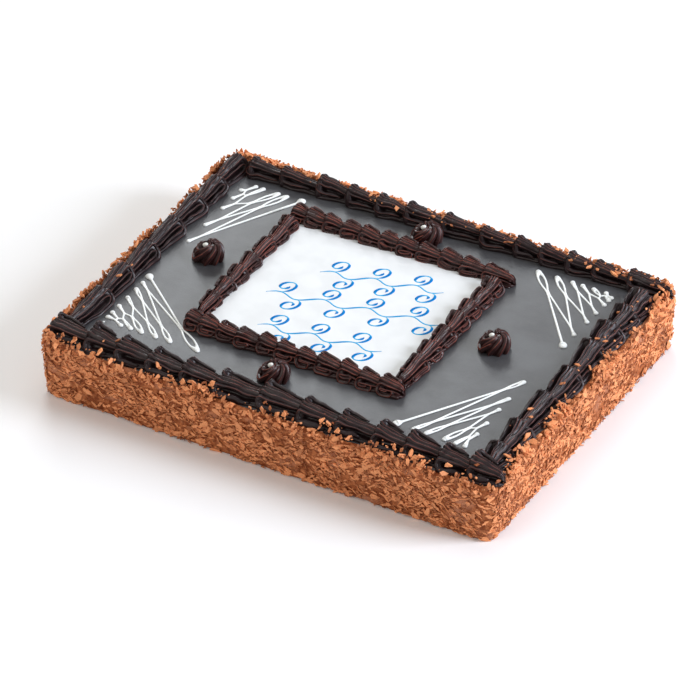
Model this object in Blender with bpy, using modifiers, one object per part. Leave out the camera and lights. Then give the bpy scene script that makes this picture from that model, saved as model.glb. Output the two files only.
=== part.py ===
"""Opera cake: a half sheet cake with a coat of shaved chocolate, a dark glaze and piped ganache.

Metres, +Z up. The origin is the middle of the underside, with X along the long side.
"""
import math
import random
from dataclasses import dataclass

import bmesh
import bpy
from mathutils import Matrix, Vector

MM = 0.001
GAP = 0.3 * MM

# The cake and its coat. The coat leans out a little towards the top.
CAKE_LENGTH = 400 * MM
CAKE_WIDTH = 300 * MM
CAKE_HEIGHT = 50 * MM
CAKE_CORNER = 9 * MM
COAT_LEAN = 3.2 * MM
BASE_TUCK = 1.5 * MM
COAT_CRAG = 1.5 * MM
CRAG_SHAKE = 1.2 * MM
CRAG_SPACING = 9.5 * MM
CRAG_LEVELS = (3, 11, 20, 30, 40)

# The glaze is a thin sheet on top, a little smaller than the coat.
GLAZE_THICKNESS = 3 * MM
GLAZE_MARGIN = 2 * MM
GLAZE_CORNER = 8 * MM
GLAZE_EDGE = 0.8 * MM
CAKE_TOP = CAKE_HEIGHT - GLAZE_THICKNESS - GAP
DECK = CAKE_HEIGHT + GAP

# The icing sheet in the middle, which the piped frame runs round.
PLAQUE_X = (-109 * MM, 73.5 * MM)
PLAQUE_Y = (-74 * MM, 92.5 * MM)
PLAQUE_THICKNESS = 1.2 * MM
PLAQUE_EDGE = 0.4 * MM

# A piped shell: place along it, height and half width, from its head to its tail.
SHELL_STATIONS = ((0.0, 0.72, 0.80), (0.11, 0.97, 0.98), (0.4, 1.0, 1.0), (0.74, 0.87, 0.9))
# Half of a shell's section, from the base up to the spine: side and height.
BORDER_SECTION = ((1.0, 0.0), (1.05, 0.24), (0.88, 0.48), (0.62, 0.52), (0.5, 0.88), (0.22, 1.0))
FRAME_SECTION = ((1.0, 0.0), (1.06, 0.3), (0.72, 0.5), (0.46, 0.9))
SPINE_HOLLOW = 0.94
# Half width and height of the blunt ends of a run.
NOSE = (0.55, 0.6)
# The frame straddles the edge of the icing sheet: how far outside its middle the step lies.
FRAME_STEP = 0.6 * MM
# How much the shells of a run differ, as laid by hand.
SHELL_WIDTHS = (0.94, 1.03)
SHELL_HEIGHTS = (0.93, 1.05)
SHELL_DRIFT = 0.5 * MM

# The rosettes.
ROSETTE_RADIUS = 12.4 * MM
ROSETTE_HEIGHT = 16.8 * MM
ROSETTE_RIDGES = 9
ROSETTE_LEVELS = ((0.0, 0.94), (0.12, 1.0), (0.42, 0.93), (0.7, 0.68), (0.9, 0.4), (1.0, 0.14))
ROSETTE_GROOVE = 0.84
ROSETTE_TWIST = math.radians(75)
ROSETTE_DOT = 2.0 * MM
ROSETTE_DOT_PLACE = (-3.0 * MM, 1.0 * MM, 14.8 * MM)
# The flank of the back border, which the back rosette is pressed against.
BORDER_FLANK_POINT = (0.0, 118.8 * MM, DECK + 3.5 * MM)
BORDER_FLANK_NORMAL = (0.0, 1.0, -0.45)

# The white drizzle.
LINE_HALF_WIDTH = 0.9 * MM
DROP_HALF_WIDTH = 2.1 * MM
FIRST_DROP = 1.5
DROP_FULLNESS = (0.8, 1.1)
DROP_LENGTH = 9 * MM
LINE_RISE = 1.3 * MM
LINE_FULLNESS = (0.85, 1.15)
LINE_SINK = 1.0 * MM

# Loose flakes of chocolate that are stuck to the rim and to the border.
RIM_FLAKES_PER_METRE = 24
RIM_LINE = 1.8 * MM
RIM_FLAKE_DEPTH = (1.5 * MM, 4.0 * MM)
FLAKE_LENGTH = (7 * MM, 13 * MM)
FLAKE_WIDTH = (4 * MM, 7 * MM)
FLAKE_THICKNESS = 1.3 * MM
FLAKE_TAPER = (0.45, 0.8)
FLAKE_BEND = (0.0, 0.06)
FLAKES_PER_RUN = 5
# Where those of the border sit on its flank, as a share of its half width and of its height.
FLANK_PLACE = 0.66


@dataclass
class Run:
    """One run of piped shells from start to end, on the plan, in millimetres.

    heads says where each shell starts, as a place along X or along Y, whichever the run follows.
    """
    name: str
    start: tuple
    end: tuple
    heads: tuple
    half_width: float
    height: float
    sweep: float
    seed: int
    plaque_side: int = 0


BORDER_RUNS = (
    Run("border_front", (-201, -136), (200, -136),
        (-201, -165, -137, -108, -77, -47, -8, 28, 61, 94, 121, 150, 181), 13.2, 15.5, 5.0, 11),
    Run("border_back", (-175.5, 129.5), (200, 139),
        (-175.5, -147, -114, -86, -59, -33, 0, 35, 65, 89, 112, 136, 165), 10.4, 15.5, 5.0, 12),
    Run("border_left", (-189, 135), (-189, -121), (135, 98, 67, 32, -7, -44, -79), 11.4, 15.5, 4.5, 13),
    Run("border_right", (187, 122.5), (187, -121), (122.5, 97, 72, 42, 3, -34, -76), 12.5, 16.0, 5.0, 14),
)

FRAME_RUNS = (
    Run("frame_front", (-113, -74.5), (80, -74.5),
        (-113, -99, -83, -66, -47, -30, -12, 6, 26, 44, 62), 9.3, 12.0, 3.0, 21, 1),
    Run("frame_back", (-114, 93), (83, 97),
        (-114, -101, -85, -67, -51, -33, -17, 1, 20, 40, 60), 8.8, 11.5, 3.0, 22, -1),
    Run("frame_left", (-109.5, 82), (-109.5, -60), (82, 65, 47, 23, 3, -15, -37), 8.3, 10.5, 2.5, 23, 1),
    Run("frame_right", (74, 85.5), (74, -63), (85.5, 68, 50, 31, 9, -14, -34), 9.3, 12.0, 3.0, 24, -1),
)


@dataclass
class Rosette:
    name: str
    place: tuple
    turn: float


ROSETTES = (
    Rosette("rosette_left", (-144.3, 11.1), 0.3),
    Rosette("rosette_front", (-16.7, -104.0), 1.4),
    Rosette("rosette_right", (113.8, 14.4), 2.2),
    Rosette("rosette_back", (-4.9, 118.6), 0.9),
)


@dataclass
class Squiggle:
    """A zigzag of white icing in a corner.

    Its turns lie by turns on a line along X and on a line along Y that meet at corner. The reaches
    are how far the turns lie from that corner, in millimetres, and way points from it into the glaze.
    """
    corner: tuple
    way: tuple
    reach_x: tuple
    reach_y: tuple
    starts_on_x: bool


SQUIGGLES = (
    Squiggle((-173, -102), (1, 1), (85, 60, 47, 34, 24, 15), (68, 58, 48, 35, 22, 12, 5), False),
    Squiggle((-171, 115.5), (1, -1), (51, 37, 29, 15, 8), (92, 66, 39, 23, 10), True),
    Squiggle((162, 122.5), (-1, -1), (69, 52, 38, 29, 19, 8), (79, 62, 42, 28, 15, 8, 4), False),
    Squiggle((159, -109), (-1, 1), (64, 49, 38, 22, 12, 4), (97, 72, 56, 35, 18), True),
)


def clear_scene():
    for item in list(bpy.data.objects):
        bpy.data.objects.remove(item, do_unlink=True)


def new_collection(name):
    collection = bpy.data.collections.new(name)
    bpy.context.scene.collection.children.link(collection)
    return collection


def new_material(name, colour, roughness):
    material = bpy.data.materials.new(name)
    material.use_nodes = True
    shader = material.node_tree.nodes["Principled BSDF"]
    shader.inputs["Base Color"].default_value = (*colour, 1.0)
    shader.inputs["Roughness"].default_value = roughness
    shader.inputs["Metallic"].default_value = 0.0
    material.diffuse_color = (*colour, 1.0)
    return material


def new_object(name, bm, collection, material):
    bmesh.ops.recalc_face_normals(bm, faces=bm.faces)
    mesh = bpy.data.meshes.new(name)
    bm.to_mesh(mesh)
    bm.free()
    mesh.materials.append(material)
    item = bpy.data.objects.new(name, mesh)
    collection.objects.link(item)
    return item


def loft(rings):
    """A closed body through rings of equal numbers of points, capped at both ends."""
    bm = bmesh.new()
    loops = [[bm.verts.new(point) for point in ring] for ring in rings]
    for near, far in zip(loops, loops[1:]):
        for here in range(len(near)):
            after = (here + 1) % len(near)
            bm.faces.new((near[here], near[after], far[after], far[here]))
    caps = [bm.faces.new(loops[0]), bm.faces.new(loops[-1])]
    if len(loops[0]) > 4:
        bmesh.ops.poke(bm, faces=caps)
    return bm


def fuse(body, pieces):
    """Joins small pieces to a body in one union and removes them."""
    holder = new_collection(body.name + "_pieces")
    for piece in pieces:
        holder.objects.link(piece)
    union = body.modifiers.new("fused pieces", "BOOLEAN")
    union.operation = "UNION"
    union.operand_type = "COLLECTION"
    union.collection = holder
    union.solver = "MANIFOLD"
    view = bpy.context.evaluated_depsgraph_get()
    joined = bpy.data.meshes.new_from_object(body.evaluated_get(view))
    body.modifiers.clear()
    body.data = joined
    for piece in pieces:
        bpy.data.objects.remove(piece, do_unlink=True)
    bpy.data.collections.remove(holder)
    drop_scraps(joined)


def drop_scraps(mesh):
    """Keeps the largest shell of a mesh, without loose scraps and hollows that were sealed."""
    bm = bmesh.new()
    bm.from_mesh(mesh)
    unseen = set(bm.faces)
    shells = []
    while unseen:
        shell = [unseen.pop()]
        for face in shell:
            for edge in face.edges:
                for other in edge.link_faces:
                    if other in unseen:
                        unseen.discard(other)
                        shell.append(other)
        shells.append(shell)
    shells.sort(key=len)
    scraps = [face for shell in shells[:-1] for face in shell]
    bmesh.ops.delete(bm, geom=scraps, context="FACES")
    bm.to_mesh(mesh)
    bm.free()


def rounded_outline(half_x, half_y, corner, side_spacing=None):
    """Points round a rectangle with round corners, each with its outward direction."""
    corner_points = []
    for turn, (sign_x, sign_y) in enumerate(((1, 1), (-1, 1), (-1, -1), (1, -1))):
        centre = Vector((sign_x * (half_x - corner), sign_y * (half_y - corner)))
        for step in range(3):
            angle = math.radians(90 * turn + 45 * step)
            outward = Vector((math.cos(angle), math.sin(angle)))
            corner_points.append((centre + outward * corner, outward))
    if side_spacing is None:
        return corner_points
    outline = []
    for here, (point, outward) in enumerate(corner_points):
        outline.append((point, outward))
        after, after_outward = corner_points[(here + 1) % len(corner_points)]
        count = round((after - point).length / side_spacing)
        for step in range(1, count):
            outline.append((point.lerp(after, step / count), (outward + after_outward).normalized()))
    return outline


def make_flake(rng, place, frame, collection, material):
    """A thin bent chip of chocolate, turned at random about a frame and set at a place."""
    length = rng.uniform(*FLAKE_LENGTH)
    width = rng.uniform(*FLAKE_WIDTH)
    bm = bmesh.new()
    bmesh.ops.create_cube(bm, size=1.0, matrix=Matrix.Diagonal((length, width, FLAKE_THICKNESS, 1.0)))
    taper = rng.uniform(*FLAKE_TAPER)
    for vertex in bm.verts:
        if vertex.co.x > 0:
            vertex.co.y *= taper
            vertex.co.z += width * rng.uniform(*FLAKE_BEND)
    bmesh.ops.transform(bm, matrix=Matrix.Translation(place) @ frame.to_4x4(), verts=bm.verts)
    return new_object("flake", bm, collection, material)


def keep_beyond(flake, outward, line):
    """Moves a flake outwards until all of it lies past a line on that side."""
    nearest = min(vertex.co.dot(outward) for vertex in flake.data.vertices)
    for vertex in flake.data.vertices:
        vertex.co += outward * max(0.0, line - nearest)


def rim_flakes(rng, collection, material):
    """Flakes that stand up round the cake's top edge, clear of the glaze and the border."""
    half_x = CAKE_LENGTH / 2
    half_y = CAKE_WIDTH / 2
    up = Vector((0, 0, 1))
    sides = (
        (Vector((0, -1, 0)), Vector((1, 0, 0)), half_x, half_y + RIM_LINE),
        (Vector((0, 1, 0)), Vector((1, 0, 0)), half_x, half_y + RIM_LINE),
        (Vector((-1, 0, 0)), Vector((0, 1, 0)), half_y, half_x + RIM_LINE),
        (Vector((1, 0, 0)), Vector((0, 1, 0)), half_y, half_x + RIM_LINE),
    )
    flakes = []
    for outward, along, half_length, line in sides:
        upright = Matrix((along, up, outward)).transposed()
        count = round(RIM_FLAKES_PER_METRE * 2 * half_length)
        for step in range(count):
            position = -half_length + 2 * half_length * (step + rng.uniform(0.25, 0.75)) / count
            height = CAKE_TOP - rng.uniform(*RIM_FLAKE_DEPTH)
            place = outward * line + along * position + up * height
            turn = Matrix.Rotation(rng.uniform(-1.2, 1.2), 3, "Z")
            tilt = Matrix.Rotation(rng.uniform(-0.5, 0.3), 3, "X")
            flake = make_flake(rng, place, upright @ turn @ tilt, collection, material)
            keep_beyond(flake, outward, line)
            flakes.append(flake)
    return flakes


def make_cake(collection, material):
    rng = random.Random(5)
    outline = rounded_outline(CAKE_LENGTH / 2, CAKE_WIDTH / 2, CAKE_CORNER, CRAG_SPACING)
    levels = [0.0] + [level * MM for level in CRAG_LEVELS] + [CAKE_TOP]
    rings = []
    for level in levels:
        flat = level in (levels[0], levels[-1])
        lean = COAT_LEAN * level / CAKE_TOP - (BASE_TUCK if level == 0.0 else 0.0)
        ring = []
        for point, outward in outline:
            crag = rng.uniform(-COAT_CRAG, COAT_CRAG) * (0.5 if flat else 1.0)
            shake = 0.0 if flat else rng.uniform(-CRAG_SHAKE, CRAG_SHAKE)
            place = point + outward * (lean + crag)
            ring.append((place.x, place.y, level + shake))
        rings.append(ring)
    cake = new_object("cake", loft(rings), collection, material)
    fuse(cake, rim_flakes(rng, collection, material))
    return cake


def stroke(start, end, start_drop, end_drop, rise):
    """One line of drizzle on the glaze, thin between two drops."""
    along = (end - start).normalized()
    side = Vector((-along.y, along.x))
    length = (end - start).length
    drop = min(DROP_LENGTH, length * 0.4)
    stations = (
        (0.0, start_drop, 1.0),
        (drop, LINE_HALF_WIDTH, 0.8),
        (length - drop, LINE_HALF_WIDTH, 0.8),
        (length, end_drop, 1.0),
    )
    rings = []
    for position, half_width, fullness in stations:
        middle = start + along * position
        left = middle + side * half_width
        right = middle - side * half_width
        rings.append((
            (left.x, left.y, CAKE_HEIGHT - LINE_SINK),
            (middle.x, middle.y, CAKE_HEIGHT + rise * fullness),
            (right.x, right.y, CAKE_HEIGHT - LINE_SINK),
        ))
    return loft(rings)


def squiggle_turns(squiggle):
    """The turning points of a zigzag, from its far end to the corner."""
    corner = Vector(squiggle.corner)
    on_x = [corner + Vector((squiggle.way[0] * reach, 0)) for reach in squiggle.reach_x]
    on_y = [corner + Vector((0, squiggle.way[1] * reach)) for reach in squiggle.reach_y]
    first, second = (on_x, on_y) if squiggle.starts_on_x else (on_y, on_x)
    turns = []
    for step in range(max(len(first), len(second))):
        turns += first[step:step + 1] + second[step:step + 1]
    return [turn * MM for turn in turns]


def make_glaze(collection, material):
    """The sheet of glaze, with the white drizzle lying on it."""
    rng = random.Random(7)
    outline = rounded_outline(CAKE_LENGTH / 2 - GLAZE_MARGIN, CAKE_WIDTH / 2 - GLAZE_MARGIN, GLAZE_CORNER)
    bottom = CAKE_TOP + GAP
    top_edge = GLAZE_THICKNESS - GLAZE_EDGE
    levels = ((0.0, GLAZE_EDGE), (GLAZE_EDGE, 0.0), (top_edge, 0.0), (GLAZE_THICKNESS, GLAZE_EDGE))
    rings = []
    for level, inset in levels:
        ring = [point - outward * inset for point, outward in outline]
        rings.append([(point.x, point.y, bottom + level) for point in ring])
    glaze = new_object("glaze", loft(rings), collection, material)
    strokes = []
    for squiggle in SQUIGGLES:
        turns = squiggle_turns(squiggle)
        for start, end in zip(turns, turns[1:]):
            first = FIRST_DROP if start == turns[0] else rng.uniform(*DROP_FULLNESS)
            second = rng.uniform(*DROP_FULLNESS)
            rise = LINE_RISE * rng.uniform(*LINE_FULLNESS)
            bm = stroke(start, end, DROP_HALF_WIDTH * first, DROP_HALF_WIDTH * second, rise)
            strokes.append(new_object("stroke", bm, collection, material))
    fuse(glaze, strokes)
    return glaze


def make_plaque(collection, material):
    bm = bmesh.new()
    size = Vector((PLAQUE_X[1] - PLAQUE_X[0], PLAQUE_Y[1] - PLAQUE_Y[0], PLAQUE_THICKNESS))
    bmesh.ops.create_cube(bm, size=1.0, matrix=Matrix.Diagonal((*size, 1.0)))
    plaque = new_object("plaque", bm, collection, material)
    plaque.location = ((PLAQUE_X[0] + PLAQUE_X[1]) / 2, (PLAQUE_Y[0] + PLAQUE_Y[1]) / 2,
                       DECK + PLAQUE_THICKNESS / 2)
    soften = plaque.modifiers.new("soft edge", "BEVEL")
    soften.width = PLAQUE_EDGE
    soften.segments = 1
    return plaque


def shell_joints(run):
    """Where each shell of a run starts, and where the last one ends, as parts of its length."""
    axis = 0 if abs(run.end[0] - run.start[0]) > abs(run.end[1] - run.start[1]) else 1
    span = run.end[axis] - run.start[axis]
    return [(head - run.start[axis]) / span for head in run.heads] + [1.0]


def run_ring(run, centre, along, across, half_width, height, section, sweep):
    """One section of a run, whose sides trail behind its spine by the sweep."""
    ring = []
    mirrored = [(side, lift) for side, lift in section] + [(0.0, SPINE_HOLLOW)]
    mirrored += [(-side, lift) for side, lift in reversed(section)]
    for side, lift in mirrored:
        trail = sweep * min(1.0, abs(side)) ** 1.5
        point = centre + along * trail + across * (side * half_width)
        ring.append((point.x, point.y, DECK + lift * height))
    if run.plaque_side:
        step_up = PLAQUE_THICKNESS + GAP
        inner = 0 if run.plaque_side > 0 else -1
        ring[inner] = (ring[inner][0], ring[inner][1], DECK + step_up)
        seam = centre - across * (run.plaque_side * FRAME_STEP)
        low = (seam.x, seam.y, DECK)
        high = (seam.x, seam.y, DECK + step_up)
        ring += [low, high] if run.plaque_side > 0 else [high, low]
    return ring


def make_run(run, section, collection, material):
    """A row of piped shells, each rising at its head over the last one's tail."""
    rng = random.Random(run.seed)
    start = Vector(run.start) * MM
    end = Vector(run.end) * MM
    along = (end - start).normalized()
    across = Vector((-along.y, along.x))
    length = (end - start).length
    joints = shell_joints(run)
    full = (run.half_width * MM, run.height * MM)
    blunt = (NOSE[0] * full[0], NOSE[1] * full[1])
    rings = [run_ring(run, start, along, across, *blunt, section, 0.0)]
    for head, tail in zip(joints, joints[1:]):
        half_width = rng.uniform(*SHELL_WIDTHS) * full[0]
        height = rng.uniform(*SHELL_HEIGHTS) * full[1]
        drift = across * rng.uniform(-SHELL_DRIFT, SHELL_DRIFT)
        for place, lift, spread in SHELL_STATIONS:
            if head == 0.0 and place == 0.0:
                continue
            centre = start + along * length * (head + (tail - head) * place) + drift
            rings.append(run_ring(run, centre, along, across, spread * half_width, lift * height,
                                  section, run.sweep * MM))
    rings.append(run_ring(run, end, along, across, *blunt, section, 0.0))
    return new_object(run.name, loft(rings), collection, material)


def border_flakes(run, rng, collection, material):
    """Flakes that lie on the outer flank of a border run."""
    start = Vector(run.start).to_3d() * MM
    end = Vector(run.end).to_3d() * MM
    along = (end - start).normalized()
    middle = (start + end) / 2
    outward = Vector((-along.y, along.x, 0.0))
    if outward.dot(middle) < 0:
        outward = -outward
    lean = (outward + Vector((0, 0, 0.9))).normalized()
    flakes = []
    for step in range(FLAKES_PER_RUN):
        share = (step + rng.uniform(0.2, 0.8)) / FLAKES_PER_RUN
        place = start.lerp(end, share) + outward * (run.half_width * MM * FLANK_PLACE)
        place.z = DECK + run.height * MM * FLANK_PLACE
        facing = Matrix((along, lean.cross(along), lean)).transposed()
        turn = Matrix.Rotation(rng.uniform(-1.4, 1.4), 3, "Z")
        tilt = Matrix.Rotation(rng.uniform(-0.35, 0.35), 3, "Y")
        flake = make_flake(rng, place, facing @ turn @ tilt, collection, material)
        keep_beyond(flake, Vector((0, 0, 1)), DECK + 2 * GAP)
        flakes.append(flake)
    return flakes


def make_rosette(rosette, collection, material):
    """A star-tip rosette with twisted ridges and a dot of icing beside its tip."""
    rings = []
    sides = 2 * ROSETTE_RIDGES
    for level, spread in ROSETTE_LEVELS:
        ring = []
        for side in range(sides):
            groove = 1.0 if side % 2 else ROSETTE_GROOVE
            angle = 2 * math.pi * side / sides + rosette.turn + ROSETTE_TWIST * level ** 1.3
            reach = ROSETTE_RADIUS * spread * groove
            ring.append((reach * math.cos(angle), reach * math.sin(angle), ROSETTE_HEIGHT * level))
        rings.append(ring)
    item = new_object(rosette.name, loft(rings), collection, material)
    bm = bmesh.new()
    bmesh.ops.create_icosphere(bm, subdivisions=1, radius=ROSETTE_DOT,
                               matrix=Matrix.Translation(ROSETTE_DOT_PLACE))
    fuse(item, [new_object("dot", bm, collection, material)])
    item.location = (rosette.place[0] * MM, rosette.place[1] * MM, DECK)
    return item


def lean_on(item, face_point, face_normal):
    """Cuts a piece flat where it was pressed against its neighbour."""
    bm = bmesh.new()
    bm.from_mesh(item.data)
    cut = bmesh.ops.bisect_plane(
        bm, geom=bm.verts[:] + bm.edges[:] + bm.faces[:], dist=1e-6, clear_outer=True,
        plane_co=Vector(face_point) - item.location, plane_no=face_normal)
    rim = [part for part in cut["geom_cut"] if isinstance(part, bmesh.types.BMEdge)]
    filled = bmesh.ops.holes_fill(bm, edges=rim)
    bmesh.ops.triangulate(bm, faces=filled["faces"])
    bm.to_mesh(item.data)
    bm.free()


def main():
    clear_scene()
    parts = new_collection("opera_cake")
    shavings = new_material("shaved_chocolate", (0.36, 0.13, 0.055), 0.6)
    glaze = new_material("dark_glaze", (0.055, 0.05, 0.052), 0.35)
    icing = new_material("white_icing", (0.82, 0.84, 0.85), 0.45)
    border_ganache = new_material("border_ganache", (0.028, 0.017, 0.016), 0.35)
    frame_ganache = new_material("frame_ganache", (0.06, 0.022, 0.018), 0.3)
    make_cake(parts, shavings)
    make_glaze(parts, glaze)
    make_plaque(parts, icing)
    for run in BORDER_RUNS:
        border = make_run(run, BORDER_SECTION, parts, border_ganache)
        fuse(border, border_flakes(run, random.Random(run.seed + 50), parts, border_ganache))
    for run in FRAME_RUNS:
        make_run(run, FRAME_SECTION, parts, frame_ganache)
    for rosette in ROSETTES:
        item = make_rosette(rosette, parts, frame_ganache)
        if rosette.name == "rosette_back":
            lean_on(item, BORDER_FLANK_POINT, BORDER_FLANK_NORMAL)


main()
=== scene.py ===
"""Opera cake: shaved chocolate sides, dark glaze, piped ganache and a white icing panel.

Metres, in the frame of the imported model: X along the long side, Y towards the back, Z up.
The cake's sizes are in millimetres, and each piece is turned into metres when its mesh is made.
The camera, the lights and the floor are placed in metres.
"""
import math
from dataclasses import dataclass

import bmesh
import bpy
import numpy as np
from mathutils import Matrix, Vector


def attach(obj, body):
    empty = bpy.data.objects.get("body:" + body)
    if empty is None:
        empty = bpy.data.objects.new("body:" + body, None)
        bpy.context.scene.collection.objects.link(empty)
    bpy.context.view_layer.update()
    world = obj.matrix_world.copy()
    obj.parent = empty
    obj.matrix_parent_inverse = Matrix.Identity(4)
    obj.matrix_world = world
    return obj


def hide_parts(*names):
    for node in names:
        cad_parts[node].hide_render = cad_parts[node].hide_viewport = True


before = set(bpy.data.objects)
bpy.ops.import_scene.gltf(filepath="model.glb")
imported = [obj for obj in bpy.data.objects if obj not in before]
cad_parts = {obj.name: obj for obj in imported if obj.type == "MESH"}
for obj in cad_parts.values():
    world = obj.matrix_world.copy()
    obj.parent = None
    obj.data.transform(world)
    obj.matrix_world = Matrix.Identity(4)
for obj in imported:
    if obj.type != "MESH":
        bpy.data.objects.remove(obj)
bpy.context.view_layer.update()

MM = 0.001
BODY = "root"

# The camera, as fitted to the cake's corners: its turn, height and roll in degrees, its distance and
# the point it looks at in metres, and its lens in millimetres.
CAMERA_AZIMUTH = 30.19
CAMERA_ELEVATION = 35.824
CAMERA_ROLL = -0.570
CAMERA_DISTANCE = 5.37434
CAMERA_AIM = (-0.01941, 0.01734, 0.0)
CAMERA_LENS = 348.19

# The cake, as the solids have it.
CAKE_LENGTH = 400.0
CAKE_WIDTH = 300.0
CAKE_CORNER = 9.0
DECK = 50.0
PLAQUE_X = (-109.0, 73.5)
PLAQUE_Y = (-74.0, 92.5)
PLAQUE_TOP = 51.5

# The coat's profile: how far it stands out from the plain box, at each height.
COAT_PROFILE = (
    (-1.2, 0.0), (0.1, 1.2), (0.5, 4.0), (0.8, 9.0), (1.2, 15.0), (1.5, 21.0), (1.9, 27.0), (2.2, 33.0),
    (2.6, 39.0), (2.9, 44.0), (2.8, 47.5), (1.8, 50.2), (-0.2, 51.0), (-2.2, 50.6), (-2.8, 47.5),
)


# Helpers for points and meshes

def smoothstep(value):
    value = np.clip(value, 0.0, 1.0)
    return value * value * (3.0 - 2.0 * value)


def lumps(points, size, seed):
    """Smooth noise from -1 to 1 at an array of points, whose lumps are about size across."""
    table = np.random.default_rng(seed).uniform(-1.0, 1.0, (16, 16, 16))
    cell = points / size
    corner = np.floor(cell).astype(int)
    part = smoothstep(cell - corner)
    total = np.zeros(points.shape[:-1])
    for step in np.ndindex(2, 2, 2):
        weight = np.prod(np.where(step, part, 1.0 - part), axis=-1)
        place = (corner + step) % 16
        total += weight * table[place[..., 0], place[..., 1], place[..., 2]]
    return total


def unit(vectors):
    """The same directions, each one unit long."""
    return vectors / np.maximum(np.linalg.norm(vectors, axis=-1, keepdims=True), 1e-9)


def ring_faces(ring_count, side_count, first=0):
    """The four-sided faces between rings whose points are numbered one ring after the other."""
    here = first + np.arange((ring_count - 1) * side_count).reshape(ring_count - 1, side_count)
    after = np.roll(here, -1, axis=1)
    quads = np.stack((here, after, after + side_count, here + side_count), axis=-1)
    return quads.reshape(-1, 4).tolist()


def level_rings(levels, sides):
    """A grid of levels by angles round a full turn, for a round piece."""
    turn = np.linspace(0.0, 2 * math.pi, sides, endpoint=False)
    return np.meshgrid(levels, turn, indexing="ij")


def mesh_of(name, points, faces, values_name, values):
    """A mesh from points in millimetres, with one named value at each point."""
    mesh = bpy.data.meshes.new(name)
    mesh.from_pydata((points * MM).tolist(), [], faces)
    layer = mesh.attributes.new(values_name, "FLOAT", "POINT")
    layer.data.foreach_set("value", values.astype(np.float32))
    return mesh


class Heap:
    """Closed shapes that become one piece: their points in millimetres, faces and crest values."""

    def __init__(self):
        self.points = []
        self.faces = []
        self.crests = []
        self.count = 0

    def add_tube(self, rings, crest=None):
        """A closed tube through an array of rings, with a fan over each end."""
        ring_count, side_count = rings.shape[:2]
        first = self.count
        ends = np.array([rings[0].mean(axis=0), rings[-1].mean(axis=0)])
        self.points.append(rings.reshape(-1, 3))
        self.points.append(ends)
        crest = np.zeros(ring_count * side_count) if crest is None else crest.ravel()
        self.crests.append(crest)
        self.crests.append(np.zeros(2))
        self.faces += ring_faces(ring_count, side_count, first)
        last = first + (ring_count - 1) * side_count
        low_end = first + ring_count * side_count
        for side in range(side_count):
            following = (side + 1) % side_count
            self.faces.append((low_end, first + following, first + side))
            self.faces.append((low_end + 1, last + side, last + following))
        self.count += len(crest) + 2

    def make(self, name, material):
        mesh = mesh_of(name, np.concatenate(self.points), self.faces, "crest", np.concatenate(self.crests))
        turn_outwards(mesh)
        return new_piece(name, mesh, material)


def turn_outwards(mesh):
    bm = bmesh.new()
    bm.from_mesh(mesh)
    bmesh.ops.recalc_face_normals(bm, faces=bm.faces)
    bm.to_mesh(mesh)
    bm.free()


def closed_mesh(name, bm):
    """A mesh of what was built in bm, with its faces turned outwards."""
    bmesh.ops.recalc_face_normals(bm, faces=bm.faces)
    mesh = bpy.data.meshes.new(name)
    bm.to_mesh(mesh)
    bm.free()
    return mesh


def new_piece(name, mesh, material, flat=False):
    mesh.materials.clear()
    mesh.materials.append(material)
    mesh.shade_flat() if flat else mesh.shade_smooth()
    piece = bpy.data.objects.new(name, mesh)
    bpy.context.scene.collection.objects.link(piece)
    return piece


def keep(piece, slot, *nodes):
    """Fixes a piece to the cake, with the solids it stands for; the slot it is finished in is not used."""
    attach(piece, BODY)
    if nodes:
        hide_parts(*nodes)


# Materials

class Amount:
    """A socket of a material that Python's arithmetic works on."""

    def __init__(self, finish, socket):
        self.finish = finish
        self.socket = socket

    def __add__(self, other):
        return self.finish.maths("ADD", self, other)

    def __mul__(self, other):
        return self.finish.maths("MULTIPLY", self, other)

    def __sub__(self, other):
        return self.finish.maths("SUBTRACT", self, other)

    def __rsub__(self, other):
        return self.finish.maths("SUBTRACT", other, self)

    __radd__ = __add__
    __rmul__ = __mul__


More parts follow.
